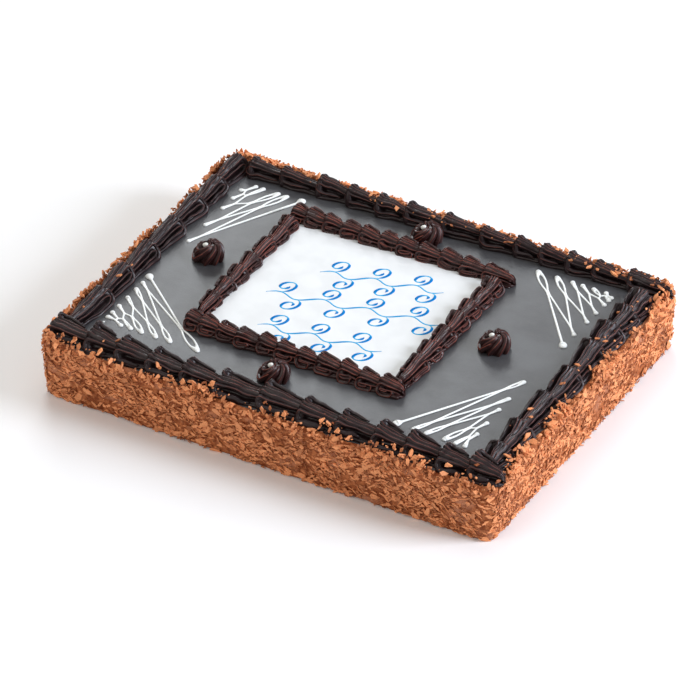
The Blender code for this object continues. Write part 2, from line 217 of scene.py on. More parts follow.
class Finish:
    """A material and its nodes."""

    def __init__(self, name, **constants):
        self.material = bpy.data.materials.new(name)
        self.material.use_nodes = True
        self.tree = self.material.node_tree
        self.shader = self.tree.nodes["Principled BSDF"]
        for socket, value in constants.items():
            self.shader.inputs[socket.replace("_", " ")].default_value = value
        self.place = self.node("ShaderNodeTexCoord", output="Object")

    def node(self, kind, settings=None, inputs=None, output=0):
        """Any node: its settings first, then the values or links of its sockets."""
        made = self.tree.nodes.new(kind)
        for setting, value in (settings or {}).items():
            if setting == "stops":
                self.set_stops(made.color_ramp, value)
            else:
                setattr(made, setting, value)
        for socket, value in (inputs or {}).items():
            self.feed(made.inputs[socket], value)
        return Amount(self, made.outputs[output])

    def set_stops(self, ramp, stops):
        while len(ramp.elements) < len(stops):
            ramp.elements.new(0.5)
        for element, (position, colour) in zip(ramp.elements, stops):
            element.position = position
            element.color = (*colour, 1.0)

    def feed(self, socket, value):
        if isinstance(value, Amount):
            self.tree.links.new(value.socket, socket)
        elif socket.type == "RGBA":
            socket.default_value = (*value, 1.0)
        else:
            socket.default_value = value

    def maths(self, operation, first, second):
        return self.node("ShaderNodeMath", {"operation": operation}, {0: first, 1: second})

    def mix(self, first, second, share):
        """A blend of two colours."""
        return self.node("ShaderNodeMix", {"data_type": "RGBA"}, {0: share, 6: first, 7: second}, 2)

    def span(self, value, low, high, to_low=0.0, to_high=1.0):
        """Carries a value from one range to another, and holds it at the ends."""
        return self.node("ShaderNodeMapRange", {"interpolation_type": "SMOOTHSTEP"},
                         {0: value, 1: low, 2: high, 3: to_low, 4: to_high})

    def noise(self, size, detail=2.0, rough=0.5, stretch=(1.0, 1.0, 1.0)):
        """Noise with lumps about size millimetres across."""
        where = self.place
        if stretch != (1.0, 1.0, 1.0):
            where = self.node("ShaderNodeMapping", None, {"Vector": self.place, "Scale": stretch})
        return self.node("ShaderNodeTexNoise", None,
                         {"Vector": where, "Scale": 1.0 / (size * MM), "Detail": detail, "Roughness": rough})

    def attribute(self, name):
        return self.node("ShaderNodeAttribute", {"attribute_name": name}, None, "Fac")

    def set(self, **channels):
        for socket, value in channels.items():
            self.feed(self.shader.inputs[socket.replace("_", " ")], value)

    def bump(self, height, depth):
        """Bumps of a depth in millimetres."""
        sockets = {"Strength": 1.0, "Distance": depth * MM, "Height": height}
        self.set(Normal=self.node("ShaderNodeBump", None, sockets, "Normal"))


# Colours, as shares of red, green and blue light.
CHOCOLATE_DARK = (0.22, 0.050, 0.013)
CHOCOLATE = (0.48, 0.155, 0.055)
CHOCOLATE_LIGHT = (0.90, 0.36, 0.15)
CHOCOLATE_CREAM = (0.55, 0.235, 0.13)
GANACHE = (0.017, 0.0078, 0.0088)
# The reddish crest colours of the border and the frame are painted highlights along the ganache's ridges.
GANACHE_CREST_HIGHLIGHT = (0.16, 0.048, 0.036)
FRAME_GANACHE = (0.030, 0.0092, 0.0086)
FRAME_CREST_HIGHLIGHT = (0.37, 0.084, 0.052)
GLAZE_DARK = (0.043, 0.042, 0.045)
GLAZE_LIGHT = (0.074, 0.075, 0.080)
ICING = (0.735, 0.75, 0.755)
KERNEL_WHITE = (0.87, 0.87, 0.82)
DRIZZLE_WHITE = (0.90, 0.92, 0.90)
INK_DEEP = (0.0, 0.19, 0.56)
INK_PALE = (0.03, 0.42, 0.76)
FLOOR_WHITE = (0.96, 0.96, 0.96)


def shavings_finish():
    """Milk chocolate in pieces, each of its own tone, with darker specks."""
    finish = Finish("chocolate_shavings", Specular_IOR_Level=0.28)
    tone = finish.attribute("tone")
    fine = finish.noise(1.4, 3.0, 0.6)
    wide = finish.noise(22.0, 2.0)
    colour = finish.mix(CHOCOLATE_DARK, CHOCOLATE_LIGHT, finish.span(tone + wide * 0.7, 0.15, 1.45))
    colour = finish.mix(colour, CHOCOLATE_DARK, finish.span(fine, 0.30, 0.48, 0.45, 0.0))
    finish.set(Base_Color=colour, Roughness=finish.span(fine, 0.3, 0.7, 0.48, 0.66))
    finish.bump(fine, 0.35)
    return finish.material


def coat_finish():
    """The chocolate coat under the shavings, smeared smooth and pale in places."""
    finish = Finish("chocolate_coat", Specular_IOR_Level=0.15)
    fine = finish.noise(1.8, 4.0, 0.65)
    flecks = finish.noise(4.5, 3.0, 0.6)
    smear = finish.noise(38.0, 2.0, 0.5, (1.0, 1.0, 1.9))
    colour = finish.mix(CHOCOLATE_DARK, CHOCOLATE, finish.span(flecks, 0.36, 0.62))
    colour = finish.mix(colour, CHOCOLATE_CREAM, finish.span(smear, 0.54, 0.66, 0.0, 0.7))
    finish.set(Base_Color=colour, Roughness=0.6)
    finish.bump(fine + flecks * 2.0, 0.7)
    return finish.material


def ganache_finish(name, body, edge, smoothest):
    """Piped ganache, satin, with a reddish painted highlight along the crests of its ribs."""
    finish = Finish(name, Specular_IOR_Level=0.36)
    crest = finish.attribute("crest")
    cloud = finish.noise(9.0, 3.0)
    fine = finish.noise(0.9, 2.0, 0.6)
    # The crest value, clouded a little, sets how much of the reddish painted highlight a point gets.
    thin = finish.span(crest + (cloud - 0.5) * 0.6, 0.35, 0.85)
    sheen = cloud + (fine - 0.5) * 0.4
    finish.set(Base_Color=finish.mix(body, edge, thin),
               Roughness=finish.span(sheen, 0.3, 0.7, smoothest, smoothest + 0.2))
    finish.bump(fine, 0.12)
    return finish.material


def glaze_finish():
    """Satin dark glaze, clouded and finely grained."""
    finish = Finish("dark_glaze_satin", Specular_IOR_Level=0.5)
    cloud = finish.noise(30.0, 3.0, 0.55)
    grain = finish.noise(1.3, 2.0, 0.7)
    sweep = finish.noise(14.0, 2.0, 0.5, (0.25, 1.0, 1.0))
    shade = finish.span(cloud * 0.6 + grain * 0.25 + sweep * 0.15, 0.35, 0.65)
    finish.set(Base_Color=finish.mix(GLAZE_DARK, GLAZE_LIGHT, shade),
               Roughness=finish.span(grain, 0.3, 0.7, 0.34, 0.44))
    finish.bump(grain * 0.5 + sweep, 0.14)
    return finish.material


def icing_finish(name, colour, smoothest):
    """White icing with faint clouds in it."""
    finish = Finish(name, Specular_IOR_Level=0.4)
    cloud = finish.noise(26.0, 2.0)
    fine = finish.noise(2.5, 2.0)
    shaded = tuple(part * 0.94 for part in colour)
    finish.set(Base_Color=finish.mix(shaded, colour, finish.span(cloud, 0.35, 0.6)),
               Roughness=finish.span(fine, 0.3, 0.7, smoothest, smoothest + 0.12))
    finish.bump(cloud, 0.5)
    return finish.material


def ink_finish():
    """Blue food ink, paler where the stroke is thin."""
    finish = Finish("blue_food_ink", Specular_IOR_Level=0.05, Roughness=0.6)
    finish.set(Base_Color=finish.mix(INK_PALE, INK_DEEP, finish.attribute("crest")))
    return finish.material


def floor_finish():
    finish = Finish("pale_floor", Roughness=0.9, Specular_IOR_Level=0.1)
    finish.set(Base_Color=FLOOR_WHITE)
    return finish.material


# The piped shells

@dataclass
class Piping:
    """A star tip's mark on each shell, in millimetres where it isn't a share.

    The nose is the length that the head rises over, the lip how far it juts, and the tuck how far
    the tail runs on under the next shell. The taper is the share that the tail loses. The band is
    the places of the ridges along the back. The curled ridges have a thickness, a reach round the
    hollow's head and a step between nested ones, and their ends are hooked or not. The hollow is how
    deep a flank is hollowed, the peak the head's share of extra height, and crisp how sharp the
    ridges are.
    """
    nose: float
    lip: float
    tuck: float
    taper: float
    band: tuple
    band_ridge: float
    curl_ridge: float
    curl_reach: float
    curl_step: float
    hollow: float
    hooked: bool
    peak: float
    # crisp also sets how strongly the ridges' crests take the painted highlight.
    crisp: float


BORDER_PIPING = Piping(4.5, 3.0, 5.0, 0.33, (-0.15, 0.12), 2.3, 1.5, 4.8, 3.6, 5.0, False, 0.10, 1.0)
FRAME_PIPING = Piping(3.8, 2.4, 4.0, 0.27, (-0.13, 0.13), 1.9, 1.35, 4.2, 2.8, 4.4, True, 0.05, 0.95)
# How far the band and the curls beside it lean away from the side that stays high.
LEAN = 0.14
# How far the piping strays as a whole, and how large its waves are.
STRAY = 0.9
STRAY_SIZE = 11.0
# How deep a shell's body lies under its smooth outline, and how far the ridges stand out of that.
RIDGE_DEPTH = 1.2
RIDGE_STAND = 0.9
# Where the head is highest, from the shell's start, and how far the rise spreads.
PEAK_PLACE = 1.4
PEAK_SPREAD = 2.4
# Where a flank's hollow lies from the spine, on an even flank and on one that stays high, and half
# its width, in a plain flank and in one with a wide ear.
HOLLOW_CENTRE = (0.67, 0.53)
HOLLOW_HALF = (0.13, 0.16)

# Half a section from the spine to the foot: place, how far across it is, and how far up, where the
# flank slopes down evenly and where it stays high before it drops.
SECTION = ((0.0, 0.2, 0.36, 0.5, 0.65, 0.8, 0.92, 1.0),
           (0.0, 0.2, 0.37, 0.52, 0.69, 0.86, 0.97, 1.0),
           (1.0, 0.985, 0.93, 0.80, 0.62, 0.42, 0.2, 0.0),
           (1.0, 1.0, 0.98, 0.96, 0.92, 0.84, 0.60, 0.0))

# The kinds of flank. The nested ones have one curled ridge inside another, and the ribbed head has a
# rib that runs down it as well.
BLUNT_LOBE, NESTED, NESTED_FINE, WIDE_EAR, RIBBED_HEAD = 1, 2, 3, 4, 5
# The curled ridges of each kind: their place above and below the hollow, and their thickness there.
CURLS = {
    BLUNT_LOBE: ((0.37, 0.86, 0.95, 1.9),),
    NESTED: ((0.37, 0.93, 0.95, 1.3), (0.58, 0.80, 0.65, 0.8)),
    NESTED_FINE: ((0.37, 0.94, 0.95, 1.2), (0.59, 0.81, 0.65, 0.8)),
    WIDE_EAR: ((0.36, 0.81, 0.9, 1.25),),
    RIBBED_HEAD: ((0.37, 0.80, 1.0, 1.15),),
}
# How sharp the lower arm of a curled ridge stays, on a blunt lobe and on the others.
BLUNT_EDGE = 0.15
LOWER_EDGE = 0.9
# Round a ridge's section, in degrees from its crest, closer together where it is sharp.
RIDGE_ANGLES = (0, 8, 20, 48, 90, 140, 180, 220, 270, 312, 340, 352)


class Shell:
    """A shell's smooth body: along is in millimetres from its head, place runs from foot to foot.

    The high side is 1 for the left flank, -1 for the right one and 0 where both slope evenly.
    """

    def __init__(self, piping, length, half_width, height, high_side):
        self.piping = piping
        self.length = length
        self.half_width = half_width
        self.height = height
        self.high_side = high_side

    def surface(self, along, place):
        piping = self.piping
        from_nose = np.clip((along + piping.lip) / piping.nose, 0.0, 1.0)
        rise = np.sqrt(np.clip(1.0 - (1.0 - from_nose) ** 2, 0.02, 1.0))
        end = np.clip((along - self.length + 2.0) / (piping.tuck + 2.0), 0.0, 1.0)
        close = np.sqrt(1.0 - 0.93 * end ** 2)
        fall = smoothstep((along - piping.nose) / max(1.0, self.length - piping.nose))
        spread = rise * close * (1.0 - piping.taper * fall)
        hump = piping.peak * np.exp(-((along - PEAK_PLACE) / PEAK_SPREAD) ** 2)
        hump = hump * (1.0 + smoothstep(place * self.high_side / 0.4))
        lift = rise ** 0.8 * close * (1.0 + hump - piping.taper * 0.8 * fall)
        across, even, high = (np.interp(np.abs(place), SECTION[0], row) for row in SECTION[1:])
        up = np.where(place * self.high_side > 0, high, even)
        aside = np.sign(place) * across * self.half_width * spread
        return np.stack((along, aside, up * self.height * lift), axis=-1)

    def outwards(self, along, place):
        ahead = self.surface(along + 0.3, place) - self.surface(along - 0.3, place)
        aside = self.surface(along, place + 0.02) - self.surface(along, place - 0.02)
        return unit(np.cross(ahead, aside))

    def body(self, flanks, drift):
        """The body under the ridges, with a hollow along each flank."""
        piping = self.piping
        share = np.linspace(0.0, 1.0, 44)
        along, place = np.meshgrid(share * (self.length + piping.lip + piping.tuck) - piping.lip,
                                   np.linspace(-1.0, 1.0, 41), indexing="ij")
        points = self.surface(along, place)
        back = smoothstep((along - 3.0) / 4.0)
        centre = np.where(place * self.high_side > 0, HOLLOW_CENTRE[1], HOLLOW_CENTRE[0])
        right, left = (HOLLOW_HALF[kind == WIDE_EAR] for kind in flanks)
        wide = np.where(place < 0, right, left)
        push = -RIDGE_DEPTH - piping.hollow * back * np.exp(-((np.abs(place) - centre) / wide) ** 4)
        push += 0.4 * lumps(points + drift, 6.0, 3)
        points = points + self.outwards(along, place) * push[..., None]
        points[..., 2] = np.maximum(points[..., 2], -0.4)
        return points


def ridge_rings(points, normals, radii, sharp):
    """Rings of a ridge that lies along points, and how near each one's points are to its sharp crest."""
    forward = unit(np.gradient(points, axis=0))
    normals = unit(normals - forward * np.sum(normals * forward, axis=1, keepdims=True))
    sideways = np.cross(forward, normals)
    rings, crest = [], []
    for angle in RIDGE_ANGLES:
        turn = math.radians(angle)
        from_crest = min(angle, 360 - angle)
        reach = 0.86 + 0.30 * math.exp(-(from_crest / 13.0) ** 2) * sharp
        outward = 0.95 * math.cos(turn) * normals + 1.15 * math.sin(turn) * sideways
        rings.append(points + outward * (radii * reach)[:, None])
        # The crest value marks where the ganache takes its reddish painted highlight.
        crest.append(math.exp(-(from_crest / 9.0) ** 2) * sharp)
    return np.stack(rings, axis=1), np.stack(crest, axis=1)


def curled_way(piping, length, upper, lower, head, back):
    """The way of a ridge that runs forward above a hollow, round its head and back below it."""
    reach = min(piping.curl_reach, 0.45 * (back - head))
    bend = np.linspace(0.0, math.pi, 16)
    middle, half = (upper + lower) / 2, (lower - upper) / 2
    centre = head + reach
    over = np.linspace(length + 1.5, centre, 12)[:-1]
    under = np.linspace(centre, back, 10)[1:]
    along = [over, centre - reach * np.sin(bend), under]
    place = [np.full(11, upper), middle - half * np.cos(bend), np.full(9, lower)]
    if piping.hooked:
        hook = np.linspace(0.3, 2.9, 12)
        along.append(back + reach * 0.55 * np.sin(hook))
        place.append(lower - half * 0.55 * (1.0 - np.cos(hook)))
    return np.concatenate(along), np.concatenate(place)


@dataclass
class Ridge:
    """A ridge's way over a shell, with its thickness and sharpness at its start and its end."""
    along: np.ndarray
    place: np.ndarray
    thick: tuple
    sharp: tuple


def back_ridges(shell, rng):
    """The ridges of the band that runs along a shell's back."""
    piping = shell.piping
    ridges = []
    for place in piping.band:
        along = np.linspace(-piping.lip + 0.5, shell.length + piping.tuck * 0.7, 26)
        place = place - LEAN * shell.high_side + rng.uniform(-0.03, 0.03)
        ridges.append(Ridge(along, np.full(26, place), (piping.band_ridge,) * 2, (0.85, 0.85)))
    return ridges


def flank_ridges(shell, side, kind, rng):
    """The curled ridges of a flank, the rib down its head where it has one, and the ridge at its foot."""
    piping, length = shell.piping, shell.length
    tooth = piping.curl_ridge
    furthest = (0.46, 0.66) if piping.hooked else (0.62, 0.95)
    lower_edge = BLUNT_EDGE if kind == BLUNT_LOBE else LOWER_EDGE
    ridges = []
    for number, (upper, lower, thick, lower_thick) in enumerate(CURLS[kind]):
        head = -0.6 + piping.curl_step * number + rng.uniform(-0.6, 0.8)
        back = max(head + 3.0, length * rng.uniform(*furthest) - 1.5 * number)
        upper = upper - LEAN * side * shell.high_side
        lower = lower + rng.uniform(-0.04, 0.04)
        along, place = curled_way(piping, length, upper, lower, head, back)
        thick = thick * rng.uniform(0.85, 1.15)
        lower_thick = lower_thick * rng.uniform(0.85, 1.15)
        ridges.append(Ridge(along, side * place, (tooth * thick, tooth * lower_thick), (1.0, lower_edge)))
    if kind == RIBBED_HEAD:
        down = side * np.linspace(0.3, 1.02, 16)
        ridges.append(Ridge(np.linspace(0.2, 2.4, 16), down, (tooth * 1.2, tooth * 1.9), (0.6, 0.0)))
    foot = np.full(18, side * 0.96)
    ridges.append(Ridge(np.linspace(0.5, length + 1.0, 18), foot, (tooth * 1.1, tooth * 1.2), (0.0, 0.0)))
    return ridges


def ridge_tube(shell, ridge, drift):
    """The tube of a ridge, sunk into its shell, with an uneven thickness and crest."""
    along = ridge.along
    wander = lumps(np.stack((along, ridge.place * 20.0, np.zeros_like(along)), axis=-1) + drift, 6.0, 2)
    place = ridge.place + 0.035 * wander
    points = shell.surface(along, place)
    normals = shell.outwards(along, place)
    share = np.linspace(0.0, 1.0, len(along))
    thick, end_thick = ridge.thick
    radii = thick + (end_thick - thick) * smoothstep(share)
    radii = radii * (1.0 + 0.25 * lumps(points + drift, 4.0, 4))
    radii = radii * (0.45 + 0.55 * smoothstep(np.minimum(share, 1.0 - share) * 9.0))
    points = points - normals * (radii * 0.5)[:, None]
    sharp, end_sharp = ridge.sharp
    # The crest's sharpness, which also sets how much reddish painted highlight it takes.
    edge = sharp + (end_sharp - sharp) * smoothstep((share - 0.5) / 0.15)
    edge = edge * shell.piping.crisp * np.clip(0.9 + 0.5 * lumps(points + drift, 5.0, 9), 0.0, 1.0)
    return ridge_rings(points, normals, radii, edge)


def shell_tubes(shell, flanks, rng):
    """The tubes of one shell: its body, the ridges along its back, and those on its flanks."""
    drift = rng.uniform(0, 900, 3)
    body = shell.body(flanks, drift)
    ridges = back_ridges(shell, rng)
    for side, kind in zip((-1, 1), flanks):
        ridges += flank_ridges(shell, side, kind, rng)
    return [(body, np.zeros(body.shape[:2]))] + [ridge_tube(shell, ridge, drift) for ridge in ridges]


@dataclass
class Run:
    """A straight run of shells.

    It has the ends of its spine, the places of its shells' heads along X or Y, half its width, its
    height, the kinds of its right and left flanks as it was piped (see CURLS), the flank that stays
    high (1 is the left one, 0 is none), and the seed of its random draws.
    """
    name: str
    start: tuple
    end: tuple
    heads: tuple
    half_width: float
    height: float
    flanks: tuple
    high_side: int
    seed: int


def pipe_run(run, piping, material):
    """The shells of a run, each a little unlike the others."""
    rng = np.random.default_rng(run.seed)
    start = np.array(run.start, float)
    end = np.array(run.end, float)
    span = np.linalg.norm(end - start)
    forward = (end - start) / span
    sideways = np.array((-forward[1], forward[0]))
    axis = int(np.argmax(np.abs(end - start)))
    joints = [(head - start[axis]) / (end[axis] - start[axis]) * span for head in run.heads] + [span]
    heap = Heap()
    for head, tail in zip(joints, joints[1:]):
        half_width = run.half_width * rng.uniform(0.94, 1.05) - RIDGE_STAND
        height = run.height * rng.uniform(0.95, 1.04) - RIDGE_STAND
        shell = Shell(piping, tail - head, half_width, height, run.high_side)
        yaw = rng.uniform(-0.04, 0.04)
        aside = rng.uniform(-0.6, 0.6)
        lean = rng.uniform(-0.1, 0.1)
        for rings, crest in shell_tubes(shell, run.flanks, rng):
            along = head + rings[..., 0] - yaw * rings[..., 1]
            across = rings[..., 1] + yaw * rings[..., 0] + aside + lean * rings[..., 2]
            plan = start + along[..., None] * forward + across[..., None] * sideways
            tube = np.concatenate((plan, DECK + rings[..., 2:]), axis=-1)
            for axis_number in range(3):
                tube[..., axis_number] += STRAY * lumps(tube, STRAY_SIZE, 61 + axis_number)
            tube[..., 2] = np.maximum(tube[..., 2], DECK - 0.5)
            heap.add_tube(tube, crest)
    return heap.make(run.name + "_shells", material)


BORDER_RUNS = (
    Run("border_front", (-203, -136), (201, -136),
        (-199, -165, -137, -108, -77, -47, -8, 28, 61, 94, 121, 150, 177),
        13.8, 14.6, (BLUNT_LOBE, WIDE_EAR), 1, 111),
    Run("border_back", (-180, 132.0), (200, 141.0),
        (-175.5, -147, -114, -86, -59, -33, 0, 35, 65, 89, 112, 136, 165),
        9.4, 13.6, (RIBBED_HEAD, BLUNT_LOBE), 1, 112),
    Run("border_left", (-189, 137), (-189, -124), (133, 98, 67, 32, -7, -44, -79),
        12.0, 14.6, (BLUNT_LOBE, NESTED_FINE), 0, 113),
    Run("border_right", (187, 126), (187, -128), (123, 97, 72, 42, 3, -34, -76, -108),
        13.0, 15.0, (WIDE_EAR, NESTED_FINE), -1, 114),
)

FRAME_RUNS = (
    Run("frame_front", (-113, -74.5), (80, -74.5), (-113, -99, -83, -66, -47, -30, -12, 6, 26, 44, 62),
        9.8, 12.2, (NESTED, WIDE_EAR), 1, 121),
    Run("frame_back", (-114, 93), (83, 97), (-114, -101, -85, -67, -51, -33, -17, 1, 20, 40, 60),
        9.3, 11.8, (NESTED, WIDE_EAR), 1, 122),
    Run("frame_left", (-109.5, 84), (-109.5, -60), (82, 65, 47, 23, 3, -15, -37),
        8.8, 11.0, (WIDE_EAR, NESTED), -1, 123),
    Run("frame_right", (74, 87), (74, -66), (85, 68, 50, 31, 9, -14, -34),
        9.8, 12.2, (WIDE_EAR, NESTED), -1, 124),
)


def pipe_ganache(dark, brown):
    """The border and the frame, each with its own ganache."""
    for run in BORDER_RUNS:
        keep(pipe_run(run, BORDER_PIPING, dark), "border_ganache", run.name)
    for run in FRAME_RUNS:
        keep(pipe_run(run, FRAME_PIPING, brown), "frame_ganache", run.name)


# The rosettes

@dataclass
class Rosette:
    """A piped rosette: where its middle stands, and how far it is turned in radians."""
    name: str
    place: tuple
    turn: float


ROSETTES = (
    Rosette("rosette_left", (-144.3, 11.1), 0.0),
    Rosette("rosette_front", (-16.7, -104.0), 0.4),
    Rosette("rosette_right", (113.8, 14.4), -0.2),
    Rosette("rosette_back", (-4.9, 117.0), 0.25),
)
ROSETTE_RADIUS = 11.2
ROSETTE_HEIGHT = 15.2
ROSETTE_RIDGES = 9
ROSETTE_TWIST = 1.35
# From the middle: where the hollow and its kernel lie, and where the nub ends.
HOLLOW_PLACE = (-3.4, -2.4)
HOLLOW_RADIUS = 4.0
HOLLOW_DEPTH = 6.0
KERNEL_PLACE = (-2.4, -2.2)
KERNEL_RADIUS = 2.2
NUB_PLACE = (2.6, -0.6)
# The lips curled round the hollow: radius, thickness, and the angles they run between in degrees.
LIPS = ((4.9, 1.5, -265.0, 30.0), (7.8, 2.4, -235.0, -20.0))


def rosette_surface(level, angle):
    """A bulging dome that leans towards its nub, sunk where the hollow is."""
    height = ROSETTE_HEIGHT * np.sin(level * math.pi / 2) ** 0.9
    bulge = 0.92 + 0.10 * np.sin(level * 4.2)
    radius = ROSETTE_RADIUS * bulge * np.cos(level * math.pi / 2 * 0.985) ** 0.5
    x = radius * np.cos(angle) + NUB_PLACE[0] * level ** 2
    y = radius * np.sin(angle) + NUB_PLACE[1] * level ** 2
    apart = np.hypot(x - HOLLOW_PLACE[0], y - HOLLOW_PLACE[1]) / HOLLOW_RADIUS
    sunk = HOLLOW_DEPTH * np.exp(-apart ** 4) * smoothstep((level - 0.25) / 0.25)
    return np.stack((x, y, height - sunk), axis=-1), radius


def winding_ridge(rosette, number):
    """One of the ridges that wind up a rosette."""
    share = np.linspace(0.0, 0.965, 44)
    drift = np.array((*rosette.place, 0.0))
    start = rosette.turn + 2 * math.pi * (number + 0.22 * math.sin(number * 2.7)) / ROSETTE_RIDGES
    points, radius = rosette_surface(share, start + ROSETTE_TWIST * share ** 1.2)
    middle = np.stack((NUB_PLACE[0] * share ** 2, NUB_PLACE[1] * share ** 2, share * 7.0), axis=-1)
    normals = unit(points - middle)
    radii = np.clip(radius * math.pi / ROSETTE_RIDGES * 0.95, 0.55, 2.4)
    radii = radii * (0.75 + 0.25 * smoothstep(share * 8.0))
    radii = radii * (1.0 + 0.18 * lumps(points + drift, 4.0, 8))
    sunk = points - normals * (radii * 0.35)[:, None]
    return ridge_rings(sunk, normals, radii, np.full(44, 0.6))


def lip_ridge(reach, thick, first, last):
    """A lip that curls round a rosette's hollow."""
    angle = np.radians(np.linspace(first, last, 48))
    x = HOLLOW_PLACE[0] + reach * np.cos(angle)
    y = HOLLOW_PLACE[1] + reach * np.sin(angle)
    out = np.hypot(x, y) / (ROSETTE_RADIUS + 0.5)
    z = (ROSETTE_HEIGHT - 0.3) * np.sqrt(np.clip(1.0 - out ** 2.4, 0.02, 1.0))
    normals = unit(np.stack((x, y, np.full_like(x, 9.0)), axis=-1))
    ends = np.minimum(np.arange(48), np.arange(48)[::-1]) / 9.0
    radii = thick * np.clip(ends, 0.35, 1.0)
    return ridge_rings(np.stack((x, y, z), axis=-1), normals, radii, np.full(48, 0.8))


def rosette_tubes(rosette):
    """The dome, the ridges that wind up it, and the lips round its hollow."""
    dome, _ = rosette_surface(*level_rings(np.linspace(0.0, 1.0, 44), 72))
    tubes = [(dome * (0.9, 0.9, 0.95), np.zeros(dome.shape[:2]))]
    tubes += [winding_ridge(rosette, number) for number in range(ROSETTE_RIDGES)]
    tubes += [lip_ridge(*lip) for lip in LIPS]
    return tubes


def pipe_rosettes(brown):
    kernels = Heap()
    for rosette in ROSETTES:
        heap = Heap()
        place = np.array((*rosette.place, DECK - 0.3))
        for rings, crest in rosette_tubes(rosette):
            rings[..., 2] = np.maximum(rings[..., 2], 0.0)
            heap.add_tube(rings + place, crest)
        keep(heap.make(rosette.name + "_swirl", brown), "frame_ganache", rosette.name)
        kernels.add_tube(kernel_rings(rosette))
    keep(kernels.make("kernels", icing_finish("kernel_white", KERNEL_WHITE, 0.35)), "white_icing")


def kernel_rings(rosette):
    """A drop of white icing with one pointed side."""
    level, angle = level_rings(np.linspace(0.02, 0.98, 12), 20)
    radius = KERNEL_RADIUS * np.sin(level * math.pi) ** 0.8
    x = radius * np.cos(angle)
    y = radius * np.sin(angle) * 0.85
    z = -0.95 * KERNEL_RADIUS * np.cos(level * math.pi)
    x = x + 0.5 * np.clip(z, 0, None) ** 1.2
    place = np.array((rosette.place[0] + KERNEL_PLACE[0], rosette.place[1] + KERNEL_PLACE[1],
                      DECK + ROSETTE_HEIGHT - 1.6))
    return np.stack((x, y, z), axis=-1) + place


# The drizzle

@dataclass
class Squiggle:
    """A zigzag of white icing in a corner of the glaze.

    Its turns lie at reaches from the corner along X and along Y, the way each side runs, and the
    furthest one on the Y side stands a little off the corner's line. Each turn but the first and
    the last has half the width of its loop.
    """
    name: str
    corner: tuple
    way: tuple
    reach_x: tuple
    reach_y: tuple
    starts_on_x: bool
    stand_off: float
    loops: tuple


SQUIGGLES = (
    Squiggle("drizzle_front_left", (-173, -102), (1, 1),
             (85, 60, 47, 34, 24, 15), (68, 58, 48, 35, 22, 12, 5), False, 0.0,
             (3.1, 0.5, 1.9, 1.2, 1.7, 0.9, 2.1, 0.5, 0.9, 0.4, 0.4)),
    Squiggle("drizzle_back_left", (-171, 115.5), (1, -1),
             (51, 37, 29, 15, 8), (92, 66, 39, 23, 10), True, 0.0,
             (0.5, 2.4, 0.7, 2.1, 0.5, 1.1, 0.4, 0.5)),
    Squiggle("drizzle_back_right", (161, 122.5), (-1, -1),
             (68, 51, 37, 28, 18, 7), (79, 62, 42, 28, 15, 8, 4), False, 3.0,
             (2.7, 0.4, 2.2, 0.4, 0.7, 0.4, 0.6, 0.4, 1.4, 0.4, 0.4)),
    Squiggle("drizzle_front_right", (156, -109), (-1, 1),
             (61, 46, 35, 19, 9, 1), (95, 70, 54, 34, 18), True, 1.5,
             (1.5, 1.3, 1.0, 1.6, 0.4, 2.2, 0.4, 1.0, 0.4)),
)
# A loop's line from its open end to its turn: places as shares of its slit's length, of half its
# width and of the line's thickness.
LOOP = ((1.25, 0.25, 1.0), (1.0, 0.28, 1.0), (0.75, 0.75, 1.0), (0.5, 1.0, 1.0), (0.25, 0.85, 1.15))
LINE_RADIUS = 0.82
LINE_FLATNESS = 0.75
DROP_RADIUS = 2.5
BLOB_RADIUS = 3.4
# A lone small drop beside the front left drizzle.
LAST_DROP = (-172.4, -104.2)


def squiggle_turns(squiggle):
    corner = np.array(squiggle.corner, float)
    on_x = [corner + (squiggle.way[0] * reach, 0) for reach in squiggle.reach_x]
    furthest = squiggle.reach_y[0]
    on_y = [corner + (squiggle.way[0] * squiggle.stand_off * reach / furthest, squiggle.way[1] * reach)
            for reach in squiggle.reach_y]
    first, second = (on_x, on_y) if squiggle.starts_on_x else (on_y, on_x)
    turns = []
    for step in range(max(len(first), len(second))):
        turns += first[step:step + 1] + second[step:step + 1]
    return turns


def squiggle_path(turns, loops):
    """Points of the icing's path with its radius at each: narrow loops at the turns, lines between."""
    way = unit(turns[1] - turns[0])
    path = [(*(turns[0] + way * reach), radius)
            for reach, radius in ((0.0, BLOB_RADIUS), (2.2, BLOB_RADIUS * 0.9), (4.5, LINE_RADIUS * 1.3))]
    for before, turn, after, half in zip(turns, turns[1:], turns[2:], loops):
        inward = unit(unit(before - turn) + unit(after - turn))
        sideways = np.array((-inward[1], inward[0]))
        if np.dot(sideways, before - turn) < 0:
            sideways = -sideways
        room = (np.linalg.norm(before - turn) + np.linalg.norm(after - turn)) / 2
        slit = min(0.42 * room, 5.0 + 8.0 * half)
        for inset, offset, radius in LOOP:
            path.append((*(turn + inward * slit * inset + sideways * half * offset), LINE_RADIUS * radius))
        path.append((*(turn + inward * 0.7), DROP_RADIUS))
        for inset, offset, radius in reversed(LOOP):
            path.append((*(turn + inward * slit * inset - sideways * half * offset), LINE_RADIUS * radius))
    path.append((*turns[-1], DROP_RADIUS * 0.85))
    return np.array(path)


def smooth_path(points, step, softness):
    """Points at an even step along a path, rounded off over a length, with what they carry."""
    walked = np.concatenate(([0.0], np.cumsum(np.linalg.norm(np.diff(points[:, :2], axis=0), axis=1))))
    places = np.arange(0.0, walked[-1] + step, step)
    even = np.stack([np.interp(places, walked, column) for column in points.T], axis=-1)
    reach = int(3 * softness / step)
    weights = np.exp(-0.5 * (np.arange(-reach, reach + 1) * step / softness) ** 2)
    weights /= weights.sum()
    padded = np.concatenate((np.repeat(even[:1], reach, axis=0), even, np.repeat(even[-1:], reach, axis=0)))
    return np.stack([np.convolve(column, weights, "valid") for column in padded.T], axis=-1)


